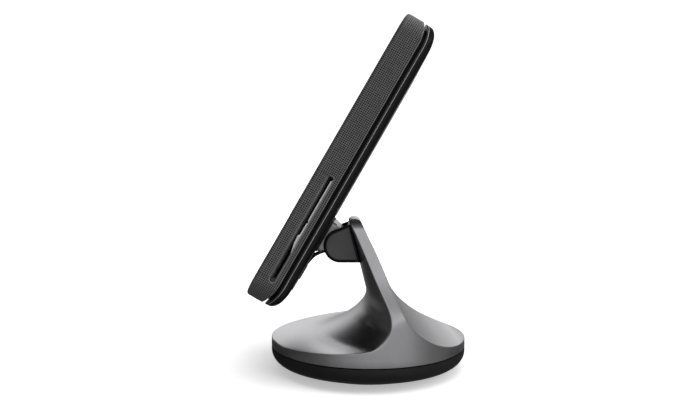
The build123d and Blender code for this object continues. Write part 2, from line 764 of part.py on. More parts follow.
with BuildPart() as contact_block:
    with BuildSketch(head_side.offset(-head_width / 2 + band_wall - 0.6)):
        with Locations((slot_middle + slot_length / 2 - contact_length / 2 - 3, screen + slot_depth + 0.7)):
            Rectangle(contact_length, contact_width)
    extrude(amount=chassis_edge + chassis_wall + piece_gap / 2 - band_wall + 0.6)
save(contact_block, "contact_block")

battery_length = 62.0
battery_width = 50.0
battery_place = head_middle + 40
with BuildPart() as battery:
    with BuildSketch(face_at(battery_depth)):
        with Locations((0, battery_place)):
            RectangleRounded(battery_width, battery_length, 2.0)
    extrude(amount=-battery_thickness)
    fillet(battery.edges().filter_by(GeomType.LINE).group_by(Axis(pivot, head_face.z_dir))[0], radius=0.8)
save(battery, "battery")

board_width = 67.0
board_length = 138.0
with BuildPart() as main_board:
    with BuildSketch(face_at(board_depth)):
        with Locations((0, head_middle)):
            Rectangle(board_width, board_length)
        with Locations((0, head_screw_middle)):
            with GridLocations(head_screw_across, head_screw_along, 2, 2):
                Circle(post_radius + 0.4, mode=Mode.SUBTRACT)
        with Locations((0, sum(recess_span) / 2)):
            Rectangle(plug_width + 5, recess_span[1] - recess_span[0] + 5, mode=Mode.SUBTRACT)
    extrude(amount=-board_thickness)
    # Chips and shields on its back.
    with BuildSketch(face_at(board_depth + board_thickness)):
        with Locations((-14, head_middle + 34), (16, head_middle + 36), (-20, head_middle - 52)):
            Rectangle(20, 20)
    extrude(amount=-1.6)
save(main_board, "main_board")

with BuildPart() as speaker:
    with BuildSketch(face_at(deck_depth + deck_thickness + piece_gap)):
        with Locations((-22, slot_middle - 22)):
            RectangleRounded(18, 14, 1.5)
    extrude(amount=-4.0)
save(speaker, "speaker")

nut_front = head_thickness - cover_wall - piece_gap / 2 - nut_plate_thickness
with BuildPart() as nut_plate:
    with BuildSketch(face_at(nut_front)):
        with Locations((0, bracket_screw_middle)):
            Rectangle(bracket_screw_across + 8, bracket_screw_along + 8)
        with bracket_holes():
            Circle(bracket_screw_radius + fixed_fit, mode=Mode.SUBTRACT)
    extrude(amount=-nut_plate_thickness)
save(nut_plate, "nut_plate")

with BuildPart() as bracket_screws:
    with BuildSketch(face_at(nut_front - 0.4)):
        with bracket_holes():
            Circle(bracket_screw_radius)
    screw_top = head_thickness + mount_plate_thickness + flange_thickness
    extrude(amount=-(screw_top - nut_front + 0.7))
    with BuildSketch(face_at(screw_top + 0.05)):
        with bracket_holes():
            Circle(bracket_screw_radius + screw_head)
    extrude(amount=-1.2)
save(bracket_screws, "bracket_screws")

with BuildPart() as cover_screws:
    with BuildSketch(face_at(deck_depth + deck_thickness + 3)):
        with Locations((0, head_screw_middle)):
            with GridLocations(head_screw_across, head_screw_along, 2, 2):
                Circle(head_screw_radius - fixed_fit)
    extrude(amount=-(head_thickness - deck_depth - deck_thickness - 3 - 0.4))
    with BuildSketch(face_at(head_thickness - 0.75)):
        with Locations((0, head_screw_middle)):
            with GridLocations(head_screw_across, head_screw_along, 2, 2):
                Circle(cover_head_radius)
    extrude(amount=-0.6)
save(cover_screws, "cover_screws")

# The power button: its face stands proud of the grip band, its flange keeps it in.
with BuildPart() as power_button:
    with BuildSketch(head_side.offset(head_width / 2 + button_proud)):
        with Locations((button_place, screen + button_depth)):
            SlotOverall(button_length, button_width)
    extrude(amount=-(button_proud + band_wall + 0.1))
    with BuildSketch(head_side.offset(head_width / 2 - band_wall - 0.1)):
        with Locations((button_place, screen + button_depth)):
            Rectangle(button_length + 2, button_width + 1.2)
    extrude(amount=-0.8)
    fillet(power_button.faces().sort_by(Axis.Y)[-1].edges(), radius=0.4)
save(power_button, "power_button")

switch_face = head_width / 2 - band_wall - 0.9 - button_travel - 0.15
with BuildPart() as button_switch:
    with BuildSketch(head_side.offset(switch_face)):
        with Locations((button_place, screen + button_depth)):
            Circle(1.0)
    extrude(amount=-1.0)
    with BuildSketch(head_side.offset(switch_face - 0.6)):
        with Locations((button_place, screen + button_depth + 0.6)):
            Rectangle(5.0, 3.4)
    extrude(amount=-1.6)
save(button_switch, "button_switch")

# The lead's plug lies in the back cover's pocket, in the port behind it.
plug_middle = head_back + plug_proud - plug_height / 2
plug_entry = head_back - 0.9
with BuildPart() as lead_plug:
    with BuildSketch(head_cross.offset(plug_start)):
        with Locations((0, plug_middle)):
            RectangleRounded(plug_width - 1, plug_height - 0.2, 1.2)
    extrude(amount=-(plug_length - 4.5))
    with BuildSketch(head_cross.offset(plug_start)):
        with Locations((0, plug_entry)):
            Circle(lead_radius + 0.4)
    extrude(amount=-3.0, mode=Mode.SUBTRACT)
save(lead_plug, "lead_plug")

with BuildPart() as head_port:
    with BuildSketch(head_cross.offset(plug_start - plug_length + 4.3)):
        with Locations((0, plug_middle)):
            Rectangle(plug_width, 3.2)
    extrude(amount=-4.2)
save(head_port, "head_port")

# The gland keeps the lead still where it leaves the neck.
gland_in = 0.8
gland_out = 3.2
with BuildPart() as lead_gland:
    with BuildSketch(gland_plane.offset(-gland_in)):
        Circle(gland_radius - piece_gap / 2)
        Circle(lead_radius + gland_fit, mode=Mode.SUBTRACT)
    extrude(amount=gland_in + gland_out)
save(lead_gland, "lead_gland")

# The lead: from the inlet's board, up the duct, out of the gland and into the plug.
lead_points = [
    (35.0, 0, 8.9), (24.0, 0, 9.6), (11.0, 0, 11.4), (6.4, 0, 29.0), (2.0, 0, 48.0),
    duct_bend, gland_aim, (-21.5, 0, 61.7), (-28.6, 0, 59.2), (-31.6, 0, 56.1), (-35.1, 0, 52.0),
]
lead_radii = []
for before, corner, after in zip(lead_points, lead_points[1:], lead_points[2:]):
    first = Vector(*corner) - Vector(*before)
    second = Vector(*after) - Vector(*corner)
    half_turn = radians(first.get_angle(second) / 2)
    lead_radii.append(0.45 * min(first.length, second.length) / tan(half_turn))
print("lead radii", [round(radius, 1) for radius in lead_radii])
with BuildPart() as lead:
    with BuildLine() as lead_path:
        FilletPolyline(*lead_points, radius=lead_radii)
    with BuildSketch(Plane(origin=lead_path.line @ 0, z_dir=lead_path.line % 0)):
        Circle(lead_radius)
    sweep()
print("lead length", round(lead_path.wires()[0].length, 1))
save(lead, "lead")
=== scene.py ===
"""Card payment terminal on a tilting stand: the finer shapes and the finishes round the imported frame."""
import json
from math import cos, pi, radians, sin

import bmesh
import bpy
import numpy as np
from bpy.props import FloatProperty, FloatVectorProperty, PointerProperty
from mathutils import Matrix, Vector
from mathutils.bvhtree import BVHTree


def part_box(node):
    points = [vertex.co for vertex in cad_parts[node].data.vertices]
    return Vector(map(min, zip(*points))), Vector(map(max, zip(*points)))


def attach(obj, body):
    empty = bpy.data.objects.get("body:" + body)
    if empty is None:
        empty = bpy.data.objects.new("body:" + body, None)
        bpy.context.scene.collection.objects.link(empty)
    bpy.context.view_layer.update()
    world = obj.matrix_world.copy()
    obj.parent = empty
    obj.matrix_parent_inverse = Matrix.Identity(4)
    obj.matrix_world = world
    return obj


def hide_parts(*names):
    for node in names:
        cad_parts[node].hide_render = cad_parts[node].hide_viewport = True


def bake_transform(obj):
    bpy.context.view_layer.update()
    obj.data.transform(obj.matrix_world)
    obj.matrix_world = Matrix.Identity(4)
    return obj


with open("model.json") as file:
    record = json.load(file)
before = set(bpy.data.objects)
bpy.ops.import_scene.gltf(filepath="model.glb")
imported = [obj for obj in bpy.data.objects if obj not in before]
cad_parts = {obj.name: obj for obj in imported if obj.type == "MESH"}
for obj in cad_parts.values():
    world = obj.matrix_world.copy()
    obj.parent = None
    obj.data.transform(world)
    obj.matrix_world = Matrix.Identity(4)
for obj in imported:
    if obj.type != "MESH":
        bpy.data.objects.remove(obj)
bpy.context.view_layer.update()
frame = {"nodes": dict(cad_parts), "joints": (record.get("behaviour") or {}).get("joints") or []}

bl_info = {
    "name": "Card terminal on a tilting stand",
    "version": (1, 0, 0),
    "blender": (4, 5, 0),
    "location": "3D View > Sidebar > Terminal",
    "description": "Builds the stand, grip band, cover edge, contacts, lead and finishes of a card terminal",
    "category": "Object",
}

MM = 0.001
tilt_joint = next(j for j in frame["joints"] if j["name"] == "head_tilt")


def box_mm(node):
    """Lowest and highest corner of a node, in millimetres."""
    low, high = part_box(node)
    return np.array(low) / MM, np.array(high) / MM


# ---------------------------------------------------------------- sizes and colours

def length_property(name, description, value, **more):
    return FloatProperty(name=name, description=description, default=value, subtype="DISTANCE", unit="LENGTH",
                         precision=5, min=0.0, **more)


def colour_property(name, description, value):
    return FloatVectorProperty(name=name, description=description, default=value, subtype="COLOR", size=3,
                               min=0.0, max=1.0)


def share_property(name, description, value):
    return FloatProperty(name=name, description=description, default=value, subtype="FACTOR", min=0.0, max=1.0)


class StandSizes(bpy.types.PropertyGroup):
    """Sizes and colours of the stand."""
    rim_height: length_property("Rim height", "Top of the round base's edge above the table", 0.0164)
    shell_bottom: length_property("Shell bottom", "Underside of the metal shell above the table", 0.0120)
    neck_height: length_property("Neck height", "Top edge of the neck above the table", 0.0794)
    crown: length_property("Crown", "How far the neck's top rises between its edges", 0.0001)
    neck_corner: length_property("Neck corner", "Radius of the neck's two top corners", 0.006)
    edge_break: length_property("Edge break", "Width of the broken edge between front, sides and back", 0.00045)
    metal: colour_property("Metal", "Colour of the anodised aluminium", (0.58, 0.58, 0.595))
    metal_roughness: share_property("Metal roughness", "How satin the aluminium is", 0.30)
    plastic: colour_property("Tray", "Colour of the lower tray", (0.016, 0.016, 0.0165))


class HeadSizes(bpy.types.PropertyGroup):
    """Sizes and colours of the head."""
    half_length: length_property("Half length", "Half the head's length", 0.0798)
    half_width: length_property("Half width", "Half the head's width", 0.039)
    middle: length_property("Middle", "Middle of the head, along it from the tilt axis", 0.03635)
    screen_to_axis: length_property("Screen to axis", "From the screen's face to the tilt axis", 0.0285)
    corner: length_property("Corner", "Radius of the head's corners, seen from the front", 0.012)
    front_round: length_property("Front round", "Radius of the grip band's front edge", 0.0015)
    band_depth: length_property("Band depth", "Depth of the grip band in the middle", 0.0127)
    band_end_depth: length_property("Band end depth", "Depth of the grip band at both ends", 0.0086)
    seam_run: length_property("Seam run", "Length over which the band's back edge curves forward", 0.014)
    wall: length_property("Band wall", "Wall of the grip band", 0.0026)
    rim: length_property("Rim", "Width of the band's rim round the glass", 0.0017)
    pitch: length_property("Pitch", "Distance between the pits of the grip", 0.001)
    pit_depth: length_property("Pit depth", "Depth of the pits of the grip", 0.0005)
    grip_colour: colour_property("Grip", "Colour of the grip band", (0.235, 0.235, 0.239))
    cover_colour: colour_property("Cover", "Colour of the back cover", (0.0035, 0.0035, 0.0037))
    glass_colour: colour_property("Glass", "Colour of the dark screen", (0.004, 0.004, 0.005))


class LeadSizes(bpy.types.PropertyGroup):
    """Sizes of the lead."""
    diameter: length_property("Diameter", "The lead's diameter", 0.002)
    length: length_property("Length", "The lead's real length", 0.109)


class StageSizes(bpy.types.PropertyGroup):
    """The stage round the object."""
    camera_back: length_property("Camera distance", "From the camera to the stand's axis", 0.305)
    camera_height: length_property("Camera height", "Height of the level camera above the table", 0.0886)
    camera_left: length_property("Camera side", "How far the camera stands left of the stand's axis", 0.0096)
    lens: FloatProperty(name="Lens", description="Focal length in millimetres", default=28.8, min=10.0, max=200.0)
    floor: colour_property("Floor", "Colour of the floor", (0.93, 0.93, 0.93))


# ---------------------------------------------------------------- meshes

def grid_quads(rows, columns, start=0, close=False):
    """Corner numbers of a grid's quads: each vertex with its neighbours in the next row and column."""
    r, c = np.meshgrid(np.arange(rows - 1), np.arange(columns if close else columns - 1), indexing="ij")
    n = (c + 1) % columns
    return (start + np.stack([r * columns + c, r * columns + n, (r + 1) * columns + n, (r + 1) * columns + c],
                             axis=-1)).reshape(-1, 4)


def make_piece(name, points_mm, quads, material, merge=0.0, outwards=False, marks=None):
    """A mesh object from points in millimetres and quads; doubles are merged and faces turned outwards."""
    mesh = bpy.data.meshes.new(name)
    mesh.from_pydata((np.asarray(points_mm) * MM).tolist(), [], np.asarray(quads).tolist())
    for mark, values in (marks or {}).items():
        layer = mesh.attributes.new(mark, "FLOAT", "POINT")
        layer.data.foreach_set("value", np.asarray(values, np.float32))
    if merge or outwards:
        work = bmesh.new()
        work.from_mesh(mesh)
        if merge:
            bmesh.ops.remove_doubles(work, verts=work.verts, dist=merge * MM)
        if outwards:
            bmesh.ops.recalc_face_normals(work, faces=work.faces)
        work.to_mesh(mesh)
        work.free()
    mesh.validate()
    mesh.polygons.foreach_set("use_smooth", np.ones(len(mesh.polygons), bool))
    mesh.materials.append(material)
    mesh.update()
    piece = bpy.data.objects.new(name, mesh)
    bpy.context.scene.collection.objects.link(piece)
    return piece


def smooth_line(guides, count=600):
    """A clamped cubic B-spline over guide points: the weighted mean of four neighbours, sampled evenly."""
    guides = np.asarray(guides, float)
    held = np.vstack([guides[:1], guides[:1], guides, guides[-1:], guides[-1:]])
    u = np.linspace(0, len(held) - 3 - 1e-9, count)
    i = np.floor(u).astype(int)
    t = (u - i)[:, None]
    weights = ((1 - t) ** 3, 3 * t**3 - 6 * t**2 + 4, -3 * t**3 + 3 * t**2 + 3 * t + 1, t**3)
    return sum(w * held[i + k] for k, w in enumerate(weights)) / 6


def ease(x):
    """0 below 0, 1 above 1, and a smooth S between."""
    x = np.clip(x, 0, 1)
    return x * x * (3 - 2 * x)


# ---------------------------------------------------------------- finishes

def finish(name, colour, roughness, metallic=0.0, grain=4000.0, bump=0.05, spread=0.12, mottle=0.15,
           mottle_scale=120.0, sockets=None, pit=None):
    """A Principled finish with fine grain in its normal, uneven roughness and a faint mottle in its colour; with pit
    given, the colour is darkened to that share of itself in the mesh's pits, as painted shade.
    """
    material = bpy.data.materials.new(name)
    material.use_nodes = True
    nodes, links = material.node_tree.nodes, material.node_tree.links
    shader = nodes["Principled BSDF"]
    shader.inputs["Metallic"].default_value = metallic
    for key, value in (sockets or {}).items():
        shader.inputs[key].default_value = value
    place = nodes.new("ShaderNodeTexCoord")

    def noise(scale, detail):
        node = nodes.new("ShaderNodeTexNoise")
        node.inputs["Scale"].default_value = scale
        node.inputs["Detail"].default_value = detail
        links.new(place.outputs["Object"], node.inputs["Vector"])
        return node.outputs["Fac"]

    cloud = noise(mottle_scale, 3.0)
    fine = noise(grain, 2.0)
    ramp = nodes.new("ShaderNodeValToRGB")
    ramp.color_ramp.elements[0].position = 0.3
    ramp.color_ramp.elements[1].position = 0.7
    ramp.color_ramp.elements[0].color = [c * (1 - mottle) for c in colour] + [1]
    ramp.color_ramp.elements[1].color = [c * (1 + mottle) for c in colour] + [1]
    links.new(cloud, ramp.inputs["Fac"])
    tint = ramp.outputs["Color"]
    # Painted shade: where the mesh's pit mark is high the colour goes to the pit share of itself, so the pits' hollows
    # read dark.
    if pit is not None:
        mark = nodes.new("ShaderNodeAttribute")
        mark.attribute_name = "pit"
        mix = nodes.new("ShaderNodeMix")
        mix.data_type = "RGBA"
        mix.inputs["B"].default_value = [c * pit for c in colour] + [1]
        links.new(mark.outputs["Fac"], mix.inputs["Factor"])
        links.new(tint, mix.inputs["A"])
        tint = mix.outputs["Result"]
    links.new(tint, shader.inputs["Base Color"])
    sheen = nodes.new("ShaderNodeMapRange")
    sheen.inputs["From Min"].default_value = 0.3
    sheen.inputs["From Max"].default_value = 0.7
    sheen.inputs["To Min"].default_value = max(roughness * (1 - spread), 0.02)
    sheen.inputs["To Max"].default_value = min(roughness * (1 + spread), 1.0)
    links.new(fine, sheen.inputs["Value"])
    links.new(sheen.outputs["Result"], shader.inputs["Roughness"])
    relief = nodes.new("ShaderNodeBump")
    relief.inputs["Strength"].default_value = bump
    relief.inputs["Distance"].default_value = 0.25 / grain
    links.new(fine, relief.inputs["Height"])
    links.new(relief.outputs["Normal"], shader.inputs["Normal"])
    return material


def dress(node, material):
    """Gives a CAD node its finish."""
    slots = frame["nodes"][node].material_slots
    for slot in slots:
        slot.material = material


# ---------------------------------------------------------------- stage

class BuildStage(bpy.types.Operator):
    """Builds the floor, the soft studio light and the camera"""
    bl_idname = "terminal.build_stage"
    bl_label = "Stage, light and camera"

    def execute(self, context):
        sizes = context.scene.terminal_stage
        scene = context.scene
        scene.view_settings.view_transform = "Standard"
        camera = bpy.data.objects.new("camera", bpy.data.cameras.new("camera"))
        scene.collection.objects.link(camera)
        camera.location = (-sizes.camera_left, -sizes.camera_back, sizes.camera_height)
        camera.rotation_euler = (radians(90), 0, 0)
        camera.data.lens = sizes.lens
        camera.data.sensor_width = 36
        camera.data.clip_start = 0.01
        scene.camera = camera

        reach = 3.0
        floor = bpy.data.meshes.new("floor")
        floor.from_pydata([(-reach, -reach, 0), (reach, -reach, 0), (reach, reach, 0), (-reach, reach, 0)], [],
                          [(0, 1, 2, 3)])
        floor = bpy.data.objects.new("floor", floor)
        scene.collection.objects.link(floor)
        pale = finish("pale_floor", tuple(sizes.floor), 0.9, grain=300, bump=0.02, mottle=0.01, mottle_scale=4,
                      sockets={"Specular IOR Level": 0.1, "Emission Color": (1, 1, 1, 1)})
        # The floor glows more the further out it is, so its far edge meets the white background. Gloss and diffuse
        # rays pass through it, so its white and its bounce stay off the object.
        nodes, links = pale.node_tree.nodes, pale.node_tree.links
        place, reach_out, glow = (
            nodes.new("ShaderNode" + kind) for kind in ("TexCoord", "VectorMath", "MapRange")
        )
        reach_out.operation = "LENGTH"
        for key, value in (("From Min", 0.15), ("From Max", 0.9), ("To Min", 0.42), ("To Max", 1.6)):
            glow.inputs[key].default_value = value
        links.new(place.outputs["Object"], reach_out.inputs[0])
        links.new(reach_out.outputs["Value"], glow.inputs["Value"])
        links.new(glow.outputs["Result"], nodes["Principled BSDF"].inputs["Emission Strength"])
        rays, clear, mix = (
            nodes.new("ShaderNode" + kind) for kind in ("LightPath", "BsdfTransparent", "MixShader")
        )
        either = nodes.new("ShaderNodeMath")
        links.new(rays.outputs["Is Glossy Ray"], either.inputs[0])
        links.new(rays.outputs["Is Diffuse Ray"], either.inputs[1])
        links.new(either.outputs["Value"], mix.inputs["Fac"])
        links.new(nodes["Principled BSDF"].outputs["BSDF"], mix.inputs[1])
        links.new(clear.outputs["BSDF"], mix.inputs[2])
        links.new(mix.outputs["Shader"], nodes["Material Output"].inputs["Surface"])
        floor.data.materials.append(pale)

        world = bpy.data.worlds.new("studio")
        scene.world = world
        world.use_nodes = True
        nodes, links = world.node_tree.nodes, world.node_tree.links
        place = nodes.new("ShaderNodeTexCoord")
        parts = nodes.new("ShaderNodeSeparateXYZ")
        links.new(place.outputs["Generated"], parts.inputs["Vector"])

        def ramp(output, stops):
            """Brightness by one part of the direction, from -1 to 1: pairs of where and how bright."""
            node = nodes.new("ShaderNodeValToRGB")
            half = nodes.new("ShaderNodeMapRange")
            half.inputs["From Min"].default_value = -1
            links.new(output, half.inputs["Value"])
            links.new(half.outputs["Result"], node.inputs["Fac"])
            node.color_ramp.interpolation = "EASE"
            while len(node.color_ramp.elements) < len(stops):
                node.color_ramp.elements.new(0.5)
            for element, (where, level) in zip(node.color_ramp.elements, stops):
                element.position = (where + 1) / 2
                element.color = (level, level, level, 1)
            return node.outputs["Color"]

        def combine(kind, a, b, factor=None):
            """Two colours put together; MIX goes from the first to the second by the factor."""
            node = nodes.new("ShaderNodeMix")
            node.data_type = "RGBA"
            node.blend_type = kind
            node.inputs["Factor"].default_value = 1
            if factor is not None:
                links.new(factor, node.inputs["Factor"])
            links.new(a, node.inputs["A"])
            links.new(b, node.inputs["B"])
            return node.outputs["Result"]

        # In front the light goes by height and from left to right; behind, a bright band stands over the horizon.
        height = ramp(parts.outputs["Z"], [(-0.9, 0.10), (-0.25, 0.34), (0.1, 0.42), (0.35, 0.56), (0.62, 0.62),
                                           (0.85, 0.10)])
        side = ramp(parts.outputs["X"], [(-1.0, 0.06), (-0.8, 0.22), (-0.45, 0.68), (0.0, 0.95), (0.6, 1.0),
                                         (1.0, 0.3)])
        above = ramp(parts.outputs["Z"], [(-0.3, 0.12), (0.06, 0.30), (0.17, 1.0), (0.45, 1.0),
                                          (0.85, 0.12)])
        beside = ramp(parts.outputs["X"], [(-0.7, 0.12), (-0.42, 0.22), (-0.2, 0.78), (-0.06, 1.0), (0.1, 1.0),
                                           (0.3, 0.6), (0.6, 0.42)])
        far = combine("MULTIPLY", above, beside)
        back = ramp(parts.outputs["Y"], [(0.05, 0.0), (0.4, 1.0)])
        front = combine("MULTIPLY", height, side)
        seen = combine("MIX", front, far, back)
        white = nodes.new("ShaderNodeRGB")
        white.outputs[0].default_value = (1, 1, 1, 1)
        rays = nodes.new("ShaderNodeLightPath")
        links.new(combine("MIX", seen, white.outputs[0], rays.outputs["Is Camera Ray"]),
                  nodes["Background"].inputs["Color"])
        nodes["Background"].inputs["Strength"].default_value = 1.25

        def softbox(name, place, aim, size, power):
            light = bpy.data.objects.new(name, bpy.data.lights.new(name, "AREA"))
            scene.collection.objects.link(light)
            light.data.shape = "RECTANGLE"
            light.data.size, light.data.size_y = size
            light.data.energy = power
            light.location = place
            light.rotation_mode = "QUATERNION"
            light.visible_glossy = False
            light.rotation_quaternion = (Vector(aim) - Vector(place)).to_track_quat("-Z", "Y")

        softbox("top_light", (0.1, -0.1, 0.9), (0, 0, 0.05), (0.9, 0.9), 6.0)
        softbox("right_light", (0.9, -0.25, 0.5), (0, 0, 0.08), (0.5, 0.7), 3.0)
        return {"FINISHED"}


# ---------------------------------------------------------------- lead

# Guide points of the lead in the stand's middle plane: out of the inlet board, up the neck's duct, through the
# gland, over the hinge and down into the head's back. X and Z in millimetres.
lead_guides = [
    (35.0, 8.9), (24.0, 9.6), (11.0, 11.4), (6.4, 29.0), (2.0, 48.0), (-0.6, 58.9), (-13.0, 62.2), (-21.5, 61.7),
    (-28.6, 59.2), (-31.6, 56.1), (-35.1, 52.0),
]


class BuildLead(bpy.types.Operator):
    """Builds the thin lead from the stand to the head, and finishes its gland and plug"""
    bl_idname = "terminal.build_lead"
    bl_label = "Lead"

    def execute(self, context):
        sizes = context.scene.terminal_lead
        curve = bpy.data.curves.new("lead_route", "CURVE")
        curve.dimensions = "3D"
        spline = curve.splines.new("NURBS")
        spline.points.add(len(lead_guides) - 1)
        for point, (x, z) in zip(spline.points, lead_guides):
            point.co = (x * MM, 0, z * MM, 1)
        spline.order_u = 3
        spline.use_endpoint_u = True
        spline.resolution_u = 24
        route = bpy.data.objects.new("lead_route", curve)
        traced = bpy.data.meshes.new_from_object(route)
        path = np.array([v.co for v in traced.vertices])
        bpy.data.objects.remove(route)
        bpy.data.meshes.remove(traced)
        bpy.data.curves.remove(curve)

        # A tube: at each point of the path a ring in the plane across it, since the path stays in one plane.
        along = np.gradient(path, axis=0)
        along /= np.linalg.norm(along, axis=1)[:, None]
        across = np.array([0.0, 1.0, 0.0])
        upright = np.cross(along, across)
        sides = 16
        turn = np.linspace(0, 2 * pi, sides, endpoint=False)
        ring = (np.cos(turn)[None, :, None] * across + np.sin(turn)[None, :, None] * upright[:, None, :])
        rings = path[:, None, :] + ring * sizes.diameter / 2
        ends = np.vstack([path[:1], path[-1:]])
        points = np.vstack([rings.reshape(-1, 3), ends])
        quads = grid_quads(len(path), sides, close=True).tolist()
        last = len(path) * sides
        caps = [(last, (k + 1) % sides, k) for k in range(sides)]
        caps += [(last + 1, last - sides + k, last - sides + (k + 1) % sides) for k in range(sides)]
        mesh = bpy.data.meshes.new("lead_tube")
        mesh.from_pydata(points.tolist(), [], quads + caps)
        work = bmesh.new()
        work.from_mesh(mesh)
        bmesh.ops.recalc_face_normals(work, faces=work.faces)
        work.to_mesh(mesh)
        work.free()
        mesh.polygons.foreach_set("use_smooth", np.ones(len(mesh.polygons), bool))
        black = finish("lead_jacket", (0.006, 0.006, 0.006), 0.45, grain=9000, bump=0.1, mottle=0.1)
        mesh.materials.append(black)
        tube = bpy.data.objects.new("lead_tube", mesh)
        context.scene.collection.objects.link(tube)
        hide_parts("lead")
        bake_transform(tube)
        dress("lead_plug", finish("plug_moulding", (0.004, 0.004, 0.004), 0.45, grain=7000, bump=0.12,
                                  sockets={"Specular IOR Level": 0.2}))
        dress("lead_gland", finish("gland_rubber", (0.010, 0.010, 0.010), 0.6, grain=5000, bump=0.2))
        return {"FINISHED"}


# ---------------------------------------------------------------- stand

# Lines of the stand in side view, as guide points (X, Z) in millimetres.
front_middle = [
    (-51.7, 16.4), (-46, 16.65), (-38, 17.2), (-30, 18.4), (-23, 20.3), (-15.5, 23.6), (-10, 26.9), (-6.2, 29.6),
    (-3.2, 31.9), (-1.2, 34.2), (-0.35, 36.8), (-0.6, 40), (-2.05, 46), (-4.6, 56), (-7.4, 67), (-9.4, 73.6),
    (-10.5, 77.0), (-10.4, 78.4), (-9.3, 79.2), (-7.6, 79.4),
]
front_edge = [
    (-41.4, 16.4), (-33.2, 16.9), (-23.4, 17.5), (-12.4, 18.3), (-9.2, 18.6), (-1.9, 19.5), (1, 20.2), (4.1, 22.2),
    (6.7, 24.7), (8.7, 27.7), (9.4, 30.8), (9.3, 33.8), (8.6, 37), (7, 40.6), (4.9, 45), (2.7, 49.6), (0.8, 53.9),
    (-1.5, 59.4), (-3.8, 64.7), (-7.7, 73.6), (-9.6, 77.2), (-9.8, 78.5), (-9.0, 79.2), (-7.5, 79.4),
]
back_edge = [
    (46.3, 16.4), (42.7, 16.7), (37, 18.1), (32.3, 19.8), (26.8, 22.8), (21.5, 27), (17.9, 30.9), (15, 35.6),
    (12.9, 39.9), (10.8, 44.3), (8.4, 50.4), (5.5, 57.2), (2.3, 64.7), (-2.2, 73.8), (-3.4, 76.6),
    (-4.0, 78.0), (-4.9, 78.9), (-6.2, 79.4),
]
half_widths = [
    (54.5, 16.4), (54, 22), (52.8, 27), (51.0, 30.9), (49.6, 33.6), (48.0, 36.9), (46.2, 40.1), (43.6, 45.0),
    (41.4, 49.4), (39.8, 53.8), (37.0, 64.7), (34.0, 79.6),
]


def by_height(guides, heights):
    """Where a smooth line over guide points stands at each height."""
    line = smooth_line(guides)
    return np.interp(heights, np.maximum.accumulate(line[:, 1]) + np.arange(len(line)) * 1e-9, line[:, 0])


def stand_loops(sizes, radius):
    """Horizontal loops of the stand from the rim up: front, far side, back and near side, round the neck's section.

    At each height the front runs from edge to edge through the middle line: x = edge + (middle - edge) * g(q), where
    g is the rim's circle at the rim, a parabola in the dish and a flatter power curve up the neck. The sides lie on
    the base's cylinder low down and on the neck's taper above, joined by a soft minimum. The back is straight across.
    """
    rim, top = sizes.rim_height / MM, sizes.neck_height / MM
    middle = smooth_line(front_middle, 4000)
    run = np.concatenate([[0], np.cumsum(np.hypot(*np.diff(middle, axis=0).T))])
    even = np.linspace(0, run[-1], 190)
    heights = np.interp(even, run, middle[:, 1])
    near_top = top - 3 * (1 - np.sin(np.linspace(0, 1, 18) * pi / 2))
    heights = np.maximum.accumulate(np.concatenate([heights[:-1], near_top]))
    heights = np.unique(np.round(np.sort(heights), 5))
    heights[0], heights[-1] = rim, top
    x_middle = by_height(front_middle, heights)
    x_middle[0] = -radius
    x_front, x_back = by_height(front_edge, heights), by_height(back_edge, heights)
    taper = by_height(half_widths, heights)
    corner = sizes.neck_corner / MM
    into = np.clip(heights - (top - corner), 0, corner)
    taper = taper - (corner - np.sqrt(np.maximum(corner**2 - into**2, 0)))

    def side_y(x, limit):
        """Half width: the softer of the base's circle and the neck's taper."""
        circle = np.sqrt(np.maximum(radius**2 - x**2, 0))
        soft = 0.5
        return -soft * np.logaddexp(-circle / soft, -limit / soft)

    z = heights[:, None]
    y_front = side_y(x_front, taper)[:, None]
    y_back = side_y(x_back, taper)[:, None]
    edge = sizes.edge_break / MM
    q = np.sin(np.linspace(-1, 1, 81) * pi / 2) * 0.35 + np.linspace(-1, 1, 81) * 0.65
    q_front = q[None, :] * (1 - edge / y_front)
    power = 2.0 + 2.6 * ease((z - 27) / 16)
    circle = np.sqrt(np.maximum(radius**2 - (y_front * q_front) ** 2, 0))
    circle = (circle - np.sqrt(radius**2 - y_front**2)) / (radius - np.sqrt(radius**2 - y_front**2))
    bulge = 1 - np.abs(q_front) ** power
    share = ease((z - rim) / 2.0)
    g = circle * (1 - share) + bulge * share
    front = np.stack([x_front[:, None] + (x_middle - x_front)[:, None] * g, y_front * q_front,
                      z + 0 * q_front], axis=-1)
    q_back = q[None, :] * (1 - edge / y_back)
    x_b = x_back[:, None] + 0 * q_back
    x_b[0] = np.sqrt(radius**2 - (y_back[0] * q_back[0]) ** 2)
    back = np.stack([x_b, y_back * q_back, z + 0 * q_back], axis=-1)
    lam = np.linspace(0, 1, 17)[None, :]
    span = (x_back - x_front)[:, None]
    side_x = x_front[:, None] + span * (edge / span + lam * (1 - 2 * edge / span))
    side = np.stack([side_x, side_y(side_x, taper[:, None]), z + 0 * side_x], axis=-1)

    def corner_point(x_corner, y_corner, a, b):
        """Broken edge: a point a little inside a sharp corner of the loop."""
        sharp = np.stack([x_corner, y_corner, heights], axis=-1)
        return (0.4 * sharp + 0.3 * a + 0.3 * b)[:, None, :]

    flip = np.array([1, -1, 1])
    far_front = corner_point(x_front, y_front[:, 0], front[:, -1], side[:, 0])
    far_back = corner_point(x_back, y_back[:, 0], back[:, -1], side[:, -1])
    front_row = np.concatenate([far_front * flip, front, far_front], axis=1)
    back_row = np.concatenate([far_back * flip, back, far_back], axis=1)
    return front_row, side, back_row


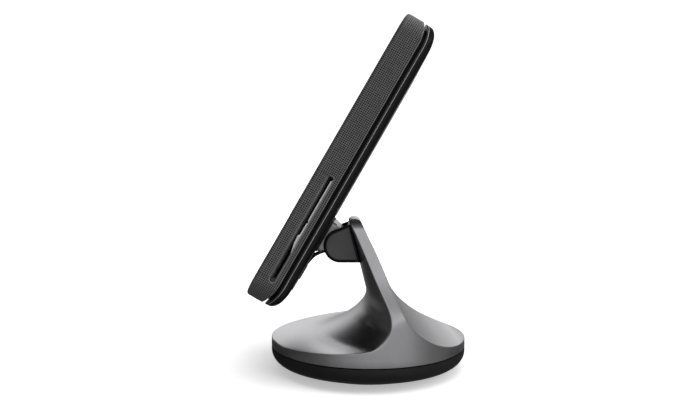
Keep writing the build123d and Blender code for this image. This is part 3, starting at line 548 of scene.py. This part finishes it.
class BuildStand(bpy.types.Operator):
    """Builds the stand's metal shell: round base, swept dish and tapering neck"""
    bl_idname = "terminal.build_stand"
    bl_label = "Stand shell"

    def execute(self, context):
        sizes = context.scene.terminal_stand
        radius = box_mm("stand_shell")[1][1]
        front, side, back = stand_loops(sizes, radius)
        flip = np.array([1, -1, 1])
        loops = np.concatenate([front, side, back[:, ::-1], side[:, ::-1] * flip], axis=1)
        count = loops.shape[1]
        # The seat of the hinge: the front is set back to the seat's plane under the yoke.
        yoke_low, yoke_high = box_mm("hinge_yoke")
        lean, seat_behind = radians(14.3), 7.8
        seat_normal = np.array([-cos(lean), 0, -sin(lean)])
        pivot = np.array(tilt_joint["pos_m"]) / MM
        seat = pivot - seat_behind * seat_normal
        ahead = (loops - seat) @ seat_normal
        inside = ((np.abs(loops[..., 1]) < yoke_high[1] - 0.4) & (loops[..., 2] > yoke_low[2] + 0.6)
                  & (loops[..., 2] < yoke_high[2] - 0.5) & (ahead > 0))
        loops = loops - np.where(inside, ahead + 0.03, 0)[..., None] * seat_normal
        # The rim's broken edge, on the front and back of the first loop only.
        edge = sizes.edge_break / MM * 0.8
        bottom, rim = sizes.shell_bottom / MM, sizes.rim_height / MM
        open_rim = np.zeros(count)
        open_rim[: front.shape[1]] = 1
        open_rim[front.shape[1] + side.shape[1]: front.shape[1] + side.shape[1] + back.shape[1]] = 1
        first = loops[0].copy()
        outward = first[:, :2] / np.linalg.norm(first[:, :2], axis=1)[:, None]

        def base_loop(inset, height):
            """A circle of the base, set in by an inset and at a height."""
            reach = radius - inset * np.ones(count)
            return np.column_stack([outward * reach[:, None], np.full(count, height)])

        wall, lower_break = 2.4, 0.25
        lower = [
            base_loop(wall, bottom + wall), base_loop(wall, bottom), base_loop(lower_break, bottom),
            base_loop(lower_break * 0.28, bottom + lower_break * 0.28), base_loop(0.0, bottom + lower_break),
            base_loop(0.0, rim - edge), base_loop(open_rim * edge * 0.29, rim - edge * 0.29),
        ]
        loops[0, :, :2] -= outward * (open_rim * edge)[:, None]
        stack = np.concatenate([np.stack(lower), loops])
        points = [stack.reshape(-1, 3)]
        quads = [grid_quads(len(stack), count, close=True)]
        # Top cap: straight from front to back with a small crown, its sides on the last loop's sides.
        top_front, top_side, top_back = loops[-1, : front.shape[1]], side[-1], back[-1]
        share = np.concatenate([[0], np.linspace(0.04, 0.96, side.shape[1]), [1]])[:, None, None]
        cap = top_front[None] * (1 - share) + top_back[None] * share
        across = 1 - np.abs(np.linspace(-1, 1, front.shape[1])) ** 6
        cap[1:-1, -1] = top_side
        cap[1:-1, 0] = top_side * flip
        cap[..., 2] += sizes.crown / MM * (4 * share * (1 - share))[..., 0] * across
        start = len(points[0])
        points.append(cap.reshape(-1, 3))
        quads.append(grid_quads(cap.shape[0], cap.shape[1], start))
        # Roof of the room under the shell.
        start += len(points[1])
        roof = np.stack([stack[0], stack[0] * [0.5, 0.5, 1], stack[0] * [0.0, 0.0, 1]])
        points.append(roof.reshape(-1, 3))
        quads.append(grid_quads(3, count, start, close=True))
        metal = finish("satin_aluminium", tuple(sizes.metal), sizes.metal_roughness, metallic=1.0, grain=7000,
                       bump=0.10, spread=0.15, mottle=0.03, mottle_scale=300)
        shell = make_piece("stand_skin", np.vstack(points), np.vstack(quads), metal, merge=0.002, outwards=True)
        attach(shell, "stand")
        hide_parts("stand_shell")
        return {"FINISHED"}


class FinishBase(bpy.types.Operator):
    """Finishes the tray, the foot ring, the screws, the weight and the power inlet"""
    bl_idname = "terminal.finish_base"
    bl_label = "Base"

    def execute(self, context):
        sizes = context.scene.terminal_stand
        dress("base_tray", finish("tray_plastic", tuple(sizes.plastic), 0.40, grain=3500, bump=0.14, mottle=0.12,
                                   sockets={"Specular IOR Level": 0.3}))
        dress("foot_ring", finish("foot_rubber", (0.014, 0.014, 0.014), 0.75, grain=2500, bump=0.35, mottle=0.25))
        dress("weight_plate", finish("weight_steel", (0.42, 0.41, 0.40), 0.48, metallic=1.0, grain=1500, bump=0.2,
                                     spread=0.3, mottle=0.12, mottle_scale=60))
        screw = finish("screw_steel", (0.55, 0.55, 0.56), 0.28, metallic=1.0, grain=6000, bump=0.1, spread=0.3)
        dress("base_screws", screw)
        dress("power_inlet", finish("inlet_steel", (0.62, 0.62, 0.63), 0.25, metallic=1.0, grain=5000, bump=0.05))
        dress("inlet_board", finish("inlet_board_mask", (0.010, 0.050, 0.026), 0.35, grain=3000, bump=0.15,
                                    mottle=0.3, mottle_scale=900))
        return {"FINISHED"}


# ---------------------------------------------------------------- hinge

class FinishHinge(bpy.types.Operator):
    """Finishes the yoke, its covers, the shaft, the washers, the collars and the head's bracket"""
    bl_idname = "terminal.finish_hinge"
    bl_label = "Tilt hinge"

    def execute(self, context):
        dress("hinge_yoke", finish("yoke_plastic", (0.003, 0.003, 0.0032), 0.36, grain=4500, bump=0.1, mottle=0.1,
                                    sockets={"Specular IOR Level": 0.25}))
        cover = finish("cheek_plastic", (0.105, 0.105, 0.108), 0.45, grain=2500, bump=0.2, mottle=0.08,
                       sockets={"Specular IOR Level": 0.3})
        dress("cheek_cover_near", cover)
        dress("cheek_cover_far", cover)
        steel = finish("shaft_steel", (0.58, 0.58, 0.59), 0.22, metallic=1.0, grain=6000, bump=0.06, spread=0.25)
        for node in ("hinge_shaft", "shaft_collars", "yoke_screws"):
            dress(node, steel)
        dress("friction_washers", finish("spring_steel", (0.40, 0.40, 0.41), 0.33, metallic=1.0, grain=5000,
                                         bump=0.1, spread=0.3))
        bright = finish("bracket_metal", (0.40, 0.40, 0.41), 0.34, metallic=1.0, grain=3500, bump=0.14, spread=0.2,
                        mottle=0.04)
        dress("hinge_bracket", bright)
        dress("mount_plate", finish("mount_gasket", (0.014, 0.014, 0.014), 0.6, grain=3000, bump=0.25))
        dress("bracket_screws", steel)
        return {"FINISHED"}


# ---------------------------------------------------------------- head

slot_depth = 8.4      # middles of the card slot and the button's hole, behind the screen's face, in millimetres
button_depth = 6.2
head_up = np.array([cos(radians(60)), 0, sin(radians(60))])
head_back = np.array([sin(radians(60)), 0, -cos(radians(60))])


def head_place(along, across, depth, screen):
    """Head coordinates to the row frame: along the head, across it, and depth behind the screen's face."""
    pivot = np.array(tilt_joint["pos_m"]) / MM
    across_vector = np.array([0.0, 1.0, 0.0])
    return (pivot + along[..., None] * head_up + across[..., None] * across_vector
            + (depth - screen)[..., None] * head_back)


def head_outline(s, half_length, half_width, corner):
    """The head's outline seen from the front, by the distance s along it: a rounded rectangle that starts on the
    near side at its lower end. Gives the place along and across, from the outline's middle, and the outward normal."""
    straight, end, arc = 2 * (half_length - corner), 2 * (half_width - corner), corner * pi / 2
    marks = np.cumsum([0, straight, arc, end, arc, straight, arc, end, arc])
    s = np.mod(s, marks[-1])
    leg = np.clip(np.searchsorted(marks, s, side="right") - 1, 0, 7)
    t = s - marks[leg]
    a, b = half_length - corner, half_width - corner
    turn = (leg // 2) * pi / 2 + np.where(leg % 2 == 1, t / corner, 0)
    # Direction of travel turns from +along (near side) to +across (top end) and on round.
    normal = np.stack([np.sin(turn), -np.cos(turn)], axis=-1)
    starts = np.array([(-a, -b), (a, -b), (a, -b), (a, b), (a, b), (-a, b), (-a, b), (-a, -b)], float)
    # Centres of the corner arcs, and the straight legs' start centres, are the inner rectangle's corners.
    way = np.array([(1, 0), (0, 0), (0, 1), (0, 0), (-1, 0), (0, 0), (0, -1), (0, 0)], float)
    centre = starts[leg] + way[leg] * t[..., None]
    place = centre + corner * normal
    return place[..., 0], place[..., 1], normal[..., 0], normal[..., 1]


def seam_at(along, half_length, sizes):
    """Depth of the band's back edge: level, with an arc forward towards each end of the head."""
    run, drop = sizes.seam_run / MM, (sizes.band_depth - sizes.band_end_depth) / MM
    arc = (run**2 + drop**2) / (2 * drop)
    into = np.clip(np.abs(along) - (half_length - run), 0, run)
    return sizes.band_depth / MM - (arc - np.sqrt(arc**2 - into**2))


class BuildGripBand(bpy.types.Operator):
    """Builds the grip band round the head, with its pits, the card slot and the power button's hole"""
    bl_idname = "terminal.build_grip_band"
    bl_label = "Grip band"

    def execute(self, context):
        sizes = context.scene.terminal_head
        half_length, half_width, corner = (v / MM for v in (sizes.half_length, sizes.half_width, sizes.corner))
        middle, screen = sizes.middle / MM, sizes.screen_to_axis / MM
        front_round, wall, rim = sizes.front_round / MM, sizes.wall / MM, sizes.rim / MM
        pitch, pit_depth = sizes.pitch / MM, sizes.pit_depth / MM
        glass = 1.2
        around = 4 * (half_length - corner) + 4 * (half_width - corner) + 2 * pi * corner
        cells = round(around / pitch)
        columns = np.arange(4 * cells) * around / (4 * cells)

        # The two holes: place along the outline, depth of the middle, half the straight part, half the width, and
        # the lip's radius in front, behind and at the tips.
        near_start = middle - (half_length - corner)
        far_start = 2 * (half_length - corner) + 2 * (half_width - corner) + corner * pi
        holes = [
            dict(s=-1.7 - near_start, d=slot_depth, straight=27.6, half=1.4, front=1.25, rear=0.12, tip=0.4),
            dict(s=far_start + (middle + half_length - corner) - 84.0, d=button_depth, straight=4.4, half=1.7,
                 front=0.15, rear=0.15, tip=0.15),
        ]
        tip_angles = np.radians(np.linspace(0, 90, 9))
        keep = np.ones(len(columns), bool)
        extra = []
        for n, hole in enumerate(holes):
            reach = hole["half"] + hole["tip"]
            for sign in (-1, 1):
                end = hole["s"] + sign * hole["straight"]
                low, high = sorted((end, end + sign * reach))
                keep &= ~((columns > low - 0.12) & (columns < high + 0.12))
                extra.append((end, sign, n))
        # Columns: s where the column is plain; in a hole's ends the angle from the straight part to the tip.
        rows_s, angle, sense = [columns[keep]], [np.zeros(keep.sum())], [np.zeros(keep.sum())]
        for end, sign, n in extra:
            reach = holes[n]["half"] + holes[n]["tip"]
            rows_s.append(end + sign * reach * np.sin(tip_angles))
            angle.append(tip_angles)
            sense.append(np.full(len(tip_angles), sign))
        order = np.argsort(np.concatenate(rows_s), kind="stable")
        s_plain, angle, sense = (np.concatenate(v)[order] for v in (rows_s, angle, sense))
        inside = np.full(len(s_plain), -1)
        for n, hole in enumerate(holes):
            reach = hole["straight"] + hole["half"] + hole["tip"] + 1e-6
            inside[np.abs(s_plain - hole["s"]) <= reach] = n
        theta = np.where(inside >= 0, angle, 0.0)

        def hole_edge(n, side, lip_share):
            """Place (s, d) of a hole's edge in each of its columns, at a share of its lip's width."""
            hole = holes[n]
            lip = hole["front"] if side < 0 else hole["rear"]
            lip = lip + (hole["tip"] - lip) * np.sin(theta)
            width = hole["half"] + lip * lip_share
            end = hole["s"] + sense * hole["straight"]
            s = np.where(sense != 0, end + sense * width * np.sin(theta), s_plain)
            return s, hole["d"] + side * width * np.cos(theta), lip

        def seam_depth(s):
            """Depth of the band's back edge, by the distance along the outline."""
            return seam_at(head_outline(s, half_length, half_width, corner)[0], half_length, sizes)

        def surface(s, inset, depth, tip_in=0.0, tip_forward=0.0):
            """Points at an inset from the outline and a depth behind the face, moved by the pits' depth."""
            along, across, n_along, n_across = head_outline(s, half_length, half_width, corner)
            out = -(inset + tip_in)
            return head_place(middle + along + n_along * out, across + n_across * out, depth + tip_forward, screen)

        def pits(s, d):
            """Depth share of the pits: a cosine wave along the band times one across it, to a power below one so that
            the pits are wide and the ridges thin. Over the rounded front the pits run together into short grooves,
            and they fade out at the edges. The same share also paints the band's colour black in the pits, as painted
            shade."""
            waves = 0.5 - 0.5 * np.cos(2 * pi * s * cells / around)
            across_waves = 0.5 - 0.5 * np.cos(2 * pi * (d - slot_depth) / pitch)
            grooved = 0.75 + 0 * d
            mixed = across_waves + (grooved - across_waves) * ease((front_round + 0.1 - d) / 0.5)
            return (waves * mixed) ** 0.3 * ease((d + 0.95) / 0.7)

        back_break = 0.15
        seam = 12.7
        nominal = np.sort(np.concatenate([slot_depth + 0.25 * np.arange(-25, 17), [front_round, seam]]))
        nominal[np.argmin(np.abs(nominal - button_depth))] = button_depth
        split = [np.argmin(np.abs(nominal - depth)) for depth in (button_depth, slot_depth)]
        points, quads, marks = [], [], []
        total = 0

        def add(block, pit):
            nonlocal total
            rows, cols = block.shape[:2]
            closing = cols == len(s_plain)
            quads.append(grid_quads(rows, cols, total, close=closing))
            points.append(block.reshape(-1, 3))
            marks.append(pit.reshape(-1))
            total += rows * cols

        def shaped_rows(levels, part, outer=True):
            """Place, depth and pit share of rows of the side, held off the holes: part 0 is in front of both,
            1 between them, 2 behind."""
            d = np.repeat(levels[:, None], len(s_plain), axis=1)
            s = np.repeat(s_plain[None, :], len(levels), axis=0)
            fade = np.ones_like(d)
            for n, border in ((1, 0), (0, 1)):
                side = -1 if part <= border else 1
                edge_s, edge_d, _ = hole_edge(n, side, 1.0 if outer else 0.0)
                here = inside == n
                d = np.where(here, np.minimum(d, edge_d) if side < 0 else np.maximum(d, edge_d), d)
                s = np.where(here, edge_s, s)
                if n == 0 and side < 0:
                    continue
                fade = np.where(here, fade * ease((np.abs(d - edge_d)) / 0.45), fade)
            return s, d, fade

        # Rounded front edge, then the side in three parts, then the broken back edge.
        psi = np.linspace(radians(81.4), 0, 6)
        for part, (first, last) in enumerate(((0, split[0]), (split[0], split[1]), (split[1], len(nominal) - 1))):
            s, d, fade = shaped_rows(nominal[first: last + 1], part)
            limit = seam_depth(s) - back_break
            fade = fade * ease((limit - d) / 0.35)
            d = np.minimum(d, limit)
            if part == 0:
                turn = psi[:-1, None] + 0 * s[:1]
                s = np.vstack([np.repeat(s[:1], len(psi) - 1, axis=0), s])
                unrolled = np.vstack([front_round - front_round * turn, d])
                turn = np.vstack([turn, 0 * d])
                inset = front_round * (1 - np.cos(turn))
                depth = np.where(turn > 0, front_round * (1 - np.sin(turn)), unrolled)
                fade = np.vstack([np.ones((len(psi) - 1, s.shape[1])), fade])
            else:
                turn, inset, depth, unrolled = 0 * d, 0 * d, d, d
            pit = pits(s, unrolled) * fade
            add(surface(s, inset, depth, pit * pit_depth * np.cos(turn), pit * pit_depth * np.sin(turn)), pit)
        s_rear, _, _ = shaped_rows(nominal[-1:], 2)
        s_rear = np.repeat(s_rear, 4, axis=0)
        edge = seam_depth(s_rear)
        inset = np.array([0.0, 0.05, 0.18, wall])[:, None] + 0 * edge
        depth = edge + np.array([-back_break, -0.05, 0.0, 0.0])[:, None]
        add(surface(s_rear, inset, depth), 0 * edge)
        # Inner wall, from the back edge to the glass, and the rim's inner edge.
        inner_levels = np.array([seam, 10.6, slot_depth, button_depth, 3.6, glass])
        for part, (first, last) in ((2, (0, 2)), (1, (2, 3)), (0, (3, 5))):
            s, d, _ = shaped_rows(inner_levels[first: last + 1], part, outer=False)
            d = np.minimum(d, seam_depth(s))
            add(surface(s, wall + 0 * d, d), 0 * d)
        s0, _, _ = shaped_rows(nominal[:1], 0, outer=False)
        s1, _, _ = shaped_rows(nominal[:1], 0)
        s_rim = np.vstack([s0, s1, s1])
        inset = np.array([wall, rim, rim])[:, None] + 0 * s_rim
        depth = np.array([glass, glass, front_round * (1 - sin(psi[0]))])[:, None] + 0 * s_rim
        inset[2] = front_round * (1 - cos(psi[0]))
        add(surface(s_rim, inset, depth), 0 * s_rim)
        # Walls of the holes: a rounded lip, then straight in.
        for n, hole in enumerate(holes):
            here = np.flatnonzero(inside == n)
            for side in (-1, 1):
                rings_s, rings_d, rings_in, rings_pit = [], [], [], []
                for phi in np.radians(np.linspace(0, 90, 6)):
                    s, d, lip = hole_edge(n, side, 1 - sin(phi))
                    rolled = hole_edge(n, side, 1.0)[1] - side * lip * phi
                    textured = (n == 0 and side < 0)
                    pit = pits(s, rolled) * (1 - sin(phi)) * np.cos(theta) if textured else 0 * s
                    if phi == 0 and textured:
                        pit = pits(s, d)
                    rings_s.append(s)
                    rings_d.append(d)
                    rings_in.append(lip * (1 - cos(phi)) + pit * pit_depth)
                    rings_pit.append(pit)
                s, d, lip = hole_edge(n, side, 0.0)
                rings_s.append(s)
                rings_d.append(d)
                rings_in.append(wall + 0 * s)
                rings_pit.append(0 * s)
                ring_s, ring_in, ring_d, ring_pit = (
                    np.stack(rows)[:, here] for rows in (rings_s, rings_in, rings_d, rings_pit)
                )
                add(surface(ring_s, ring_in, ring_d), ring_pit)
        # The pit mark paints the pits black against the grey ridges: painted shade in the hollows.
        rubber = finish("grip_rubber", tuple(sizes.grip_colour), 0.45, grain=6000, bump=0.08, mottle=0.06,
                        sockets={"Specular IOR Level": 0.2}, pit=0.0)
        band = make_piece("grip_skin", np.vstack(points), np.vstack(quads), rubber, merge=0.004, outwards=True,
                          marks={"pit": np.concatenate(marks)})
        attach(band, "head")
        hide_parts("grip_band")
        return {"FINISHED"}


class BuildCoverEdge(bpy.types.Operator):
    """Builds the dark strip and the thin lip along the back cover's front edge; the lip's light grey is a painted
    highlight
    """
    bl_idname = "terminal.build_cover_edge"
    bl_label = "Cover edge"

    def execute(self, context):
        sizes = context.scene.terminal_head
        screen = sizes.screen_to_axis / MM
        node = frame["nodes"]["back_cover"]
        tree = BVHTree.FromObject(node, context.evaluated_depsgraph_get())
        # The cover's own outline: the CAD head, which is a little shorter than the grip band drawn round it.
        cad_half_length, cad_middle = 0.0795, 0.0362
        half_length, half_width, corner, middle = (
            v / MM for v in (cad_half_length, sizes.half_width, sizes.corner, cad_middle)
        )
        around = 4 * (half_length - corner) + 4 * (half_width - corner) + 2 * pi * corner
        s = np.linspace(0, around, 720, endpoint=False)
        along, across, n_along, n_across = head_outline(s, half_length, half_width, corner)
        seam = seam_at(along, half_length, sizes)
        outside = 6.0

        def on_cover(behind):
            """Inset of the cover's side at a depth behind the seam, found by looking inwards from the outline."""
            depth = seam + behind
            start = head_place(middle + along + outside * n_along, across + outside * n_across, depth, screen)
            aim = -(n_along[:, None] * head_up + n_across[:, None] * np.array([0.0, 1.0, 0.0]))
            found = []
            for begin, way in zip(start, aim):
                distance = tree.ray_cast(Vector(begin * MM), Vector(way), 0.02)[3]
                found.append(np.nan if distance is None else distance / MM - outside)
            found = np.array(found)
            bad = np.isnan(found)
            found[bad] = np.interp(s[bad], s[~bad], found[~bad])
            return found, depth

        def ring(name, profile, material, slot):
            """A closed band round the cover: profile pairs are the depth behind the seam and how proud it stands."""
            rows = []
            for behind, proud in profile:
                inset, depth = on_cover(behind)
                inset = inset - proud
                rows.append(head_place(middle + along - n_along * inset, across - n_across * inset, depth, screen))
            block = np.stack(rows)
            piece = make_piece(name, block.reshape(-1, 3), grid_quads(len(rows), len(s), close=True), material,
                               outwards=True)
            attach(piece, "head")

        strip = finish("cover_edge_grey", (0.020, 0.020, 0.021), 0.45, grain=5000, bump=0.1)
        ring("cover_strip", [(1.85, -0.3), (1.85, 0.03), (2.2, 0.03), (2.62, 0.03), (2.62, -0.2)], strip,
             "cover_plastic")
        # The lip's light grey stands in for light caught on the cover's edge: a painted highlight, not the cover's own
        # dark colour.
        lip = finish("cover_lip_painted_highlight", (0.55, 0.55, 0.555), 0.3, grain=5000, bump=0.08)
        ring("cover_lip", [(2.60, -0.2), (2.60, 0.06), (2.68, 0.13), (2.78, 0.13), (2.86, 0.06), (2.90, -0.2)], lip,
             "cover_plastic")
        return {"FINISHED"}


# The contact block's front edge: place along the head from the tilt axis, and how wide it shows before the slot's
# rear edge, in millimetres. A thin strip runs down to a notch and ends in a hatched wedge.
contact_widths = [
    (25.6, 0.35), (24.9, 0.8), (3.4, 0.8), (3.0, 0.3), (2.2, 0.3), (1.8, 0.8), (-4.4, 0.85), (-5.0, 1.5),
    (-9.0, 1.25), (-13.2, 0.35), (-14.0, 0.2),
]


class BuildContacts(bpy.types.Operator):
    """Builds the pale contact block that shows along the card slot's rear edge, made paler than its own finish as a
    painted highlight
    """
    bl_idname = "terminal.build_contacts"
    bl_label = "Contact block"

    def execute(self, context):
        sizes = context.scene.terminal_head
        screen = sizes.screen_to_axis / MM
        face_inset, wall_depth = 0.7, 2.6
        face = face_inset - sizes.half_width / MM
        ends = np.array(contact_widths)[::-1]
        along = np.unique(np.concatenate([np.linspace(ends[0, 0], ends[-1, 0], 160), ends[:, 0]]))
        width = np.interp(along, ends[:, 0], ends[:, 1])
        rear = 9.75
        # Rows across the block: in along its front wall, over a small broken edge, across, and in again.
        rows = [(1.0, wall_depth), (1.0, 0.06), (0.92, 0.0), (0.0, 0.0), (0.0, wall_depth)]
        block = np.stack([
            head_place(along, face + inwards + 0 * along, rear - share * width, screen) for share, inwards in rows
        ])
        # The contact's own finish is 0.62 grey; the rest of this pale colour is a painted highlight along the slot's
        # rear edge.
        pale = finish("contact_pale_highlight", (0.90, 0.90, 0.90), 0.42, grain=1800, bump=0.5, mottle=0.12, mottle_scale=2500)
        piece = make_piece("contact_edge", block.reshape(-1, 3), grid_quads(len(rows), len(along)), pale)
        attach(piece, "head")
        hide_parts("contact_block")
        return {"FINISHED"}


# Finishes of what the head holds: node, finish, colour, roughness, metallic, grain, bump and the rest.
head_finishes = [
    ("chassis", "chassis_black", (0.004, 0.004, 0.004), 0.5, 0.0, 3500, 0.15, {"sockets": {"Specular IOR Level": 0.2}}),
    ("display_panel", "display_face", (0.010, 0.010, 0.012), 0.2, 0.0, 3000, 0.05, {}),
    ("antenna_coil", "coil_copper", (0.72, 0.38, 0.22), 0.35, 1.0, 3000, 0.1, {}),
    ("card_reader", "reader_grey", (0.30, 0.30, 0.31), 0.45, 0.0, 3500, 0.15, {}),
    ("contact_block", "contact_steel", (0.62, 0.62, 0.62), 0.4, 0.0, 3000, 0.1, {}),
    ("battery", "battery_film", (0.05, 0.055, 0.07), 0.35, 0.0, 900, 0.3, {}),
    ("main_board", "board_mask", (0.010, 0.050, 0.026), 0.35, 0.0, 3000, 0.2, {"mottle": 0.4, "mottle_scale": 700}),
    ("speaker", "speaker_black", (0.02, 0.02, 0.02), 0.5, 0.0, 2000, 0.3, {}),
    ("nut_plate", "nut_steel", (0.5, 0.5, 0.5), 0.35, 1.0, 3000, 0.15, {}),
    ("cover_screws", "black_steel", (0.03, 0.03, 0.032), 0.35, 1.0, 6000, 0.1, {}),
    ("button_switch", "switch_steel", (0.55, 0.55, 0.55), 0.3, 1.0, 5000, 0.1, {}),
    ("head_port", "port_steel", (0.6, 0.6, 0.6), 0.3, 1.0, 5000, 0.1, {}),
    ("power_button", "button_satin", (0.014, 0.014, 0.015), 0.34, 0.0, 5000, 0.08, {}),
]


class FinishHead(bpy.types.Operator):
    """Finishes the screen, the back cover, the power button and what the head holds"""
    bl_idname = "terminal.finish_head"
    bl_label = "Head"

    def execute(self, context):
        sizes = context.scene.terminal_head
        dress("back_cover", finish("cover_satin", tuple(sizes.cover_colour), 0.30, grain=5000, bump=0.08,
                                   mottle=0.1, sockets={"Specular IOR Level": 0.35}))
        dress("screen_glass", finish("screen_black", tuple(sizes.glass_colour), 0.05, grain=400, bump=0.0,
                                     spread=0.2, mottle=0.1, sockets={"Coat Weight": 1.0}))
        for node, name, colour, roughness, metallic, grain, bump, more in head_finishes:
            dress(node, finish(name, colour, roughness, metallic=metallic, grain=grain, bump=bump, **more))
        return {"FINISHED"}


class TerminalPanel(bpy.types.Panel):
    """Lists the steps that build the terminal"""
    bl_idname = "VIEW3D_PT_terminal"
    bl_label = "Terminal"
    bl_space_type = "VIEW_3D"
    bl_region_type = "UI"
    bl_category = "Terminal"

    def draw(self, context):
        for group in ("terminal_stand", "terminal_head", "terminal_lead", "terminal_stage"):
            holder = getattr(context.scene, group)
            for key in holder.__annotations__:
                self.layout.prop(holder, key)
        for step in steps:
            self.layout.operator(step.bl_idname)


groups = {"terminal_stand": StandSizes, "terminal_head": HeadSizes, "terminal_lead": LeadSizes,
          "terminal_stage": StageSizes}
steps = (BuildStage, BuildLead, BuildStand, FinishBase, FinishHinge, BuildGripBand, BuildCoverEdge, BuildContacts,
         FinishHead)


def register():
    for part in (*groups.values(), *steps, TerminalPanel):
        bpy.utils.register_class(part)
    for name, group in groups.items():
        setattr(bpy.types.Scene, name, PointerProperty(type=group))


def unregister():
    for name in groups:
        delattr(bpy.types.Scene, name)
    for part in reversed((*groups.values(), *steps, TerminalPanel)):
        bpy.utils.unregister_class(part)


def main():
    register()
    for step in steps:
        family, name = step.bl_idname.split(".")
        getattr(getattr(bpy.ops, family), name)()


if __name__ == "__main__":
    main()
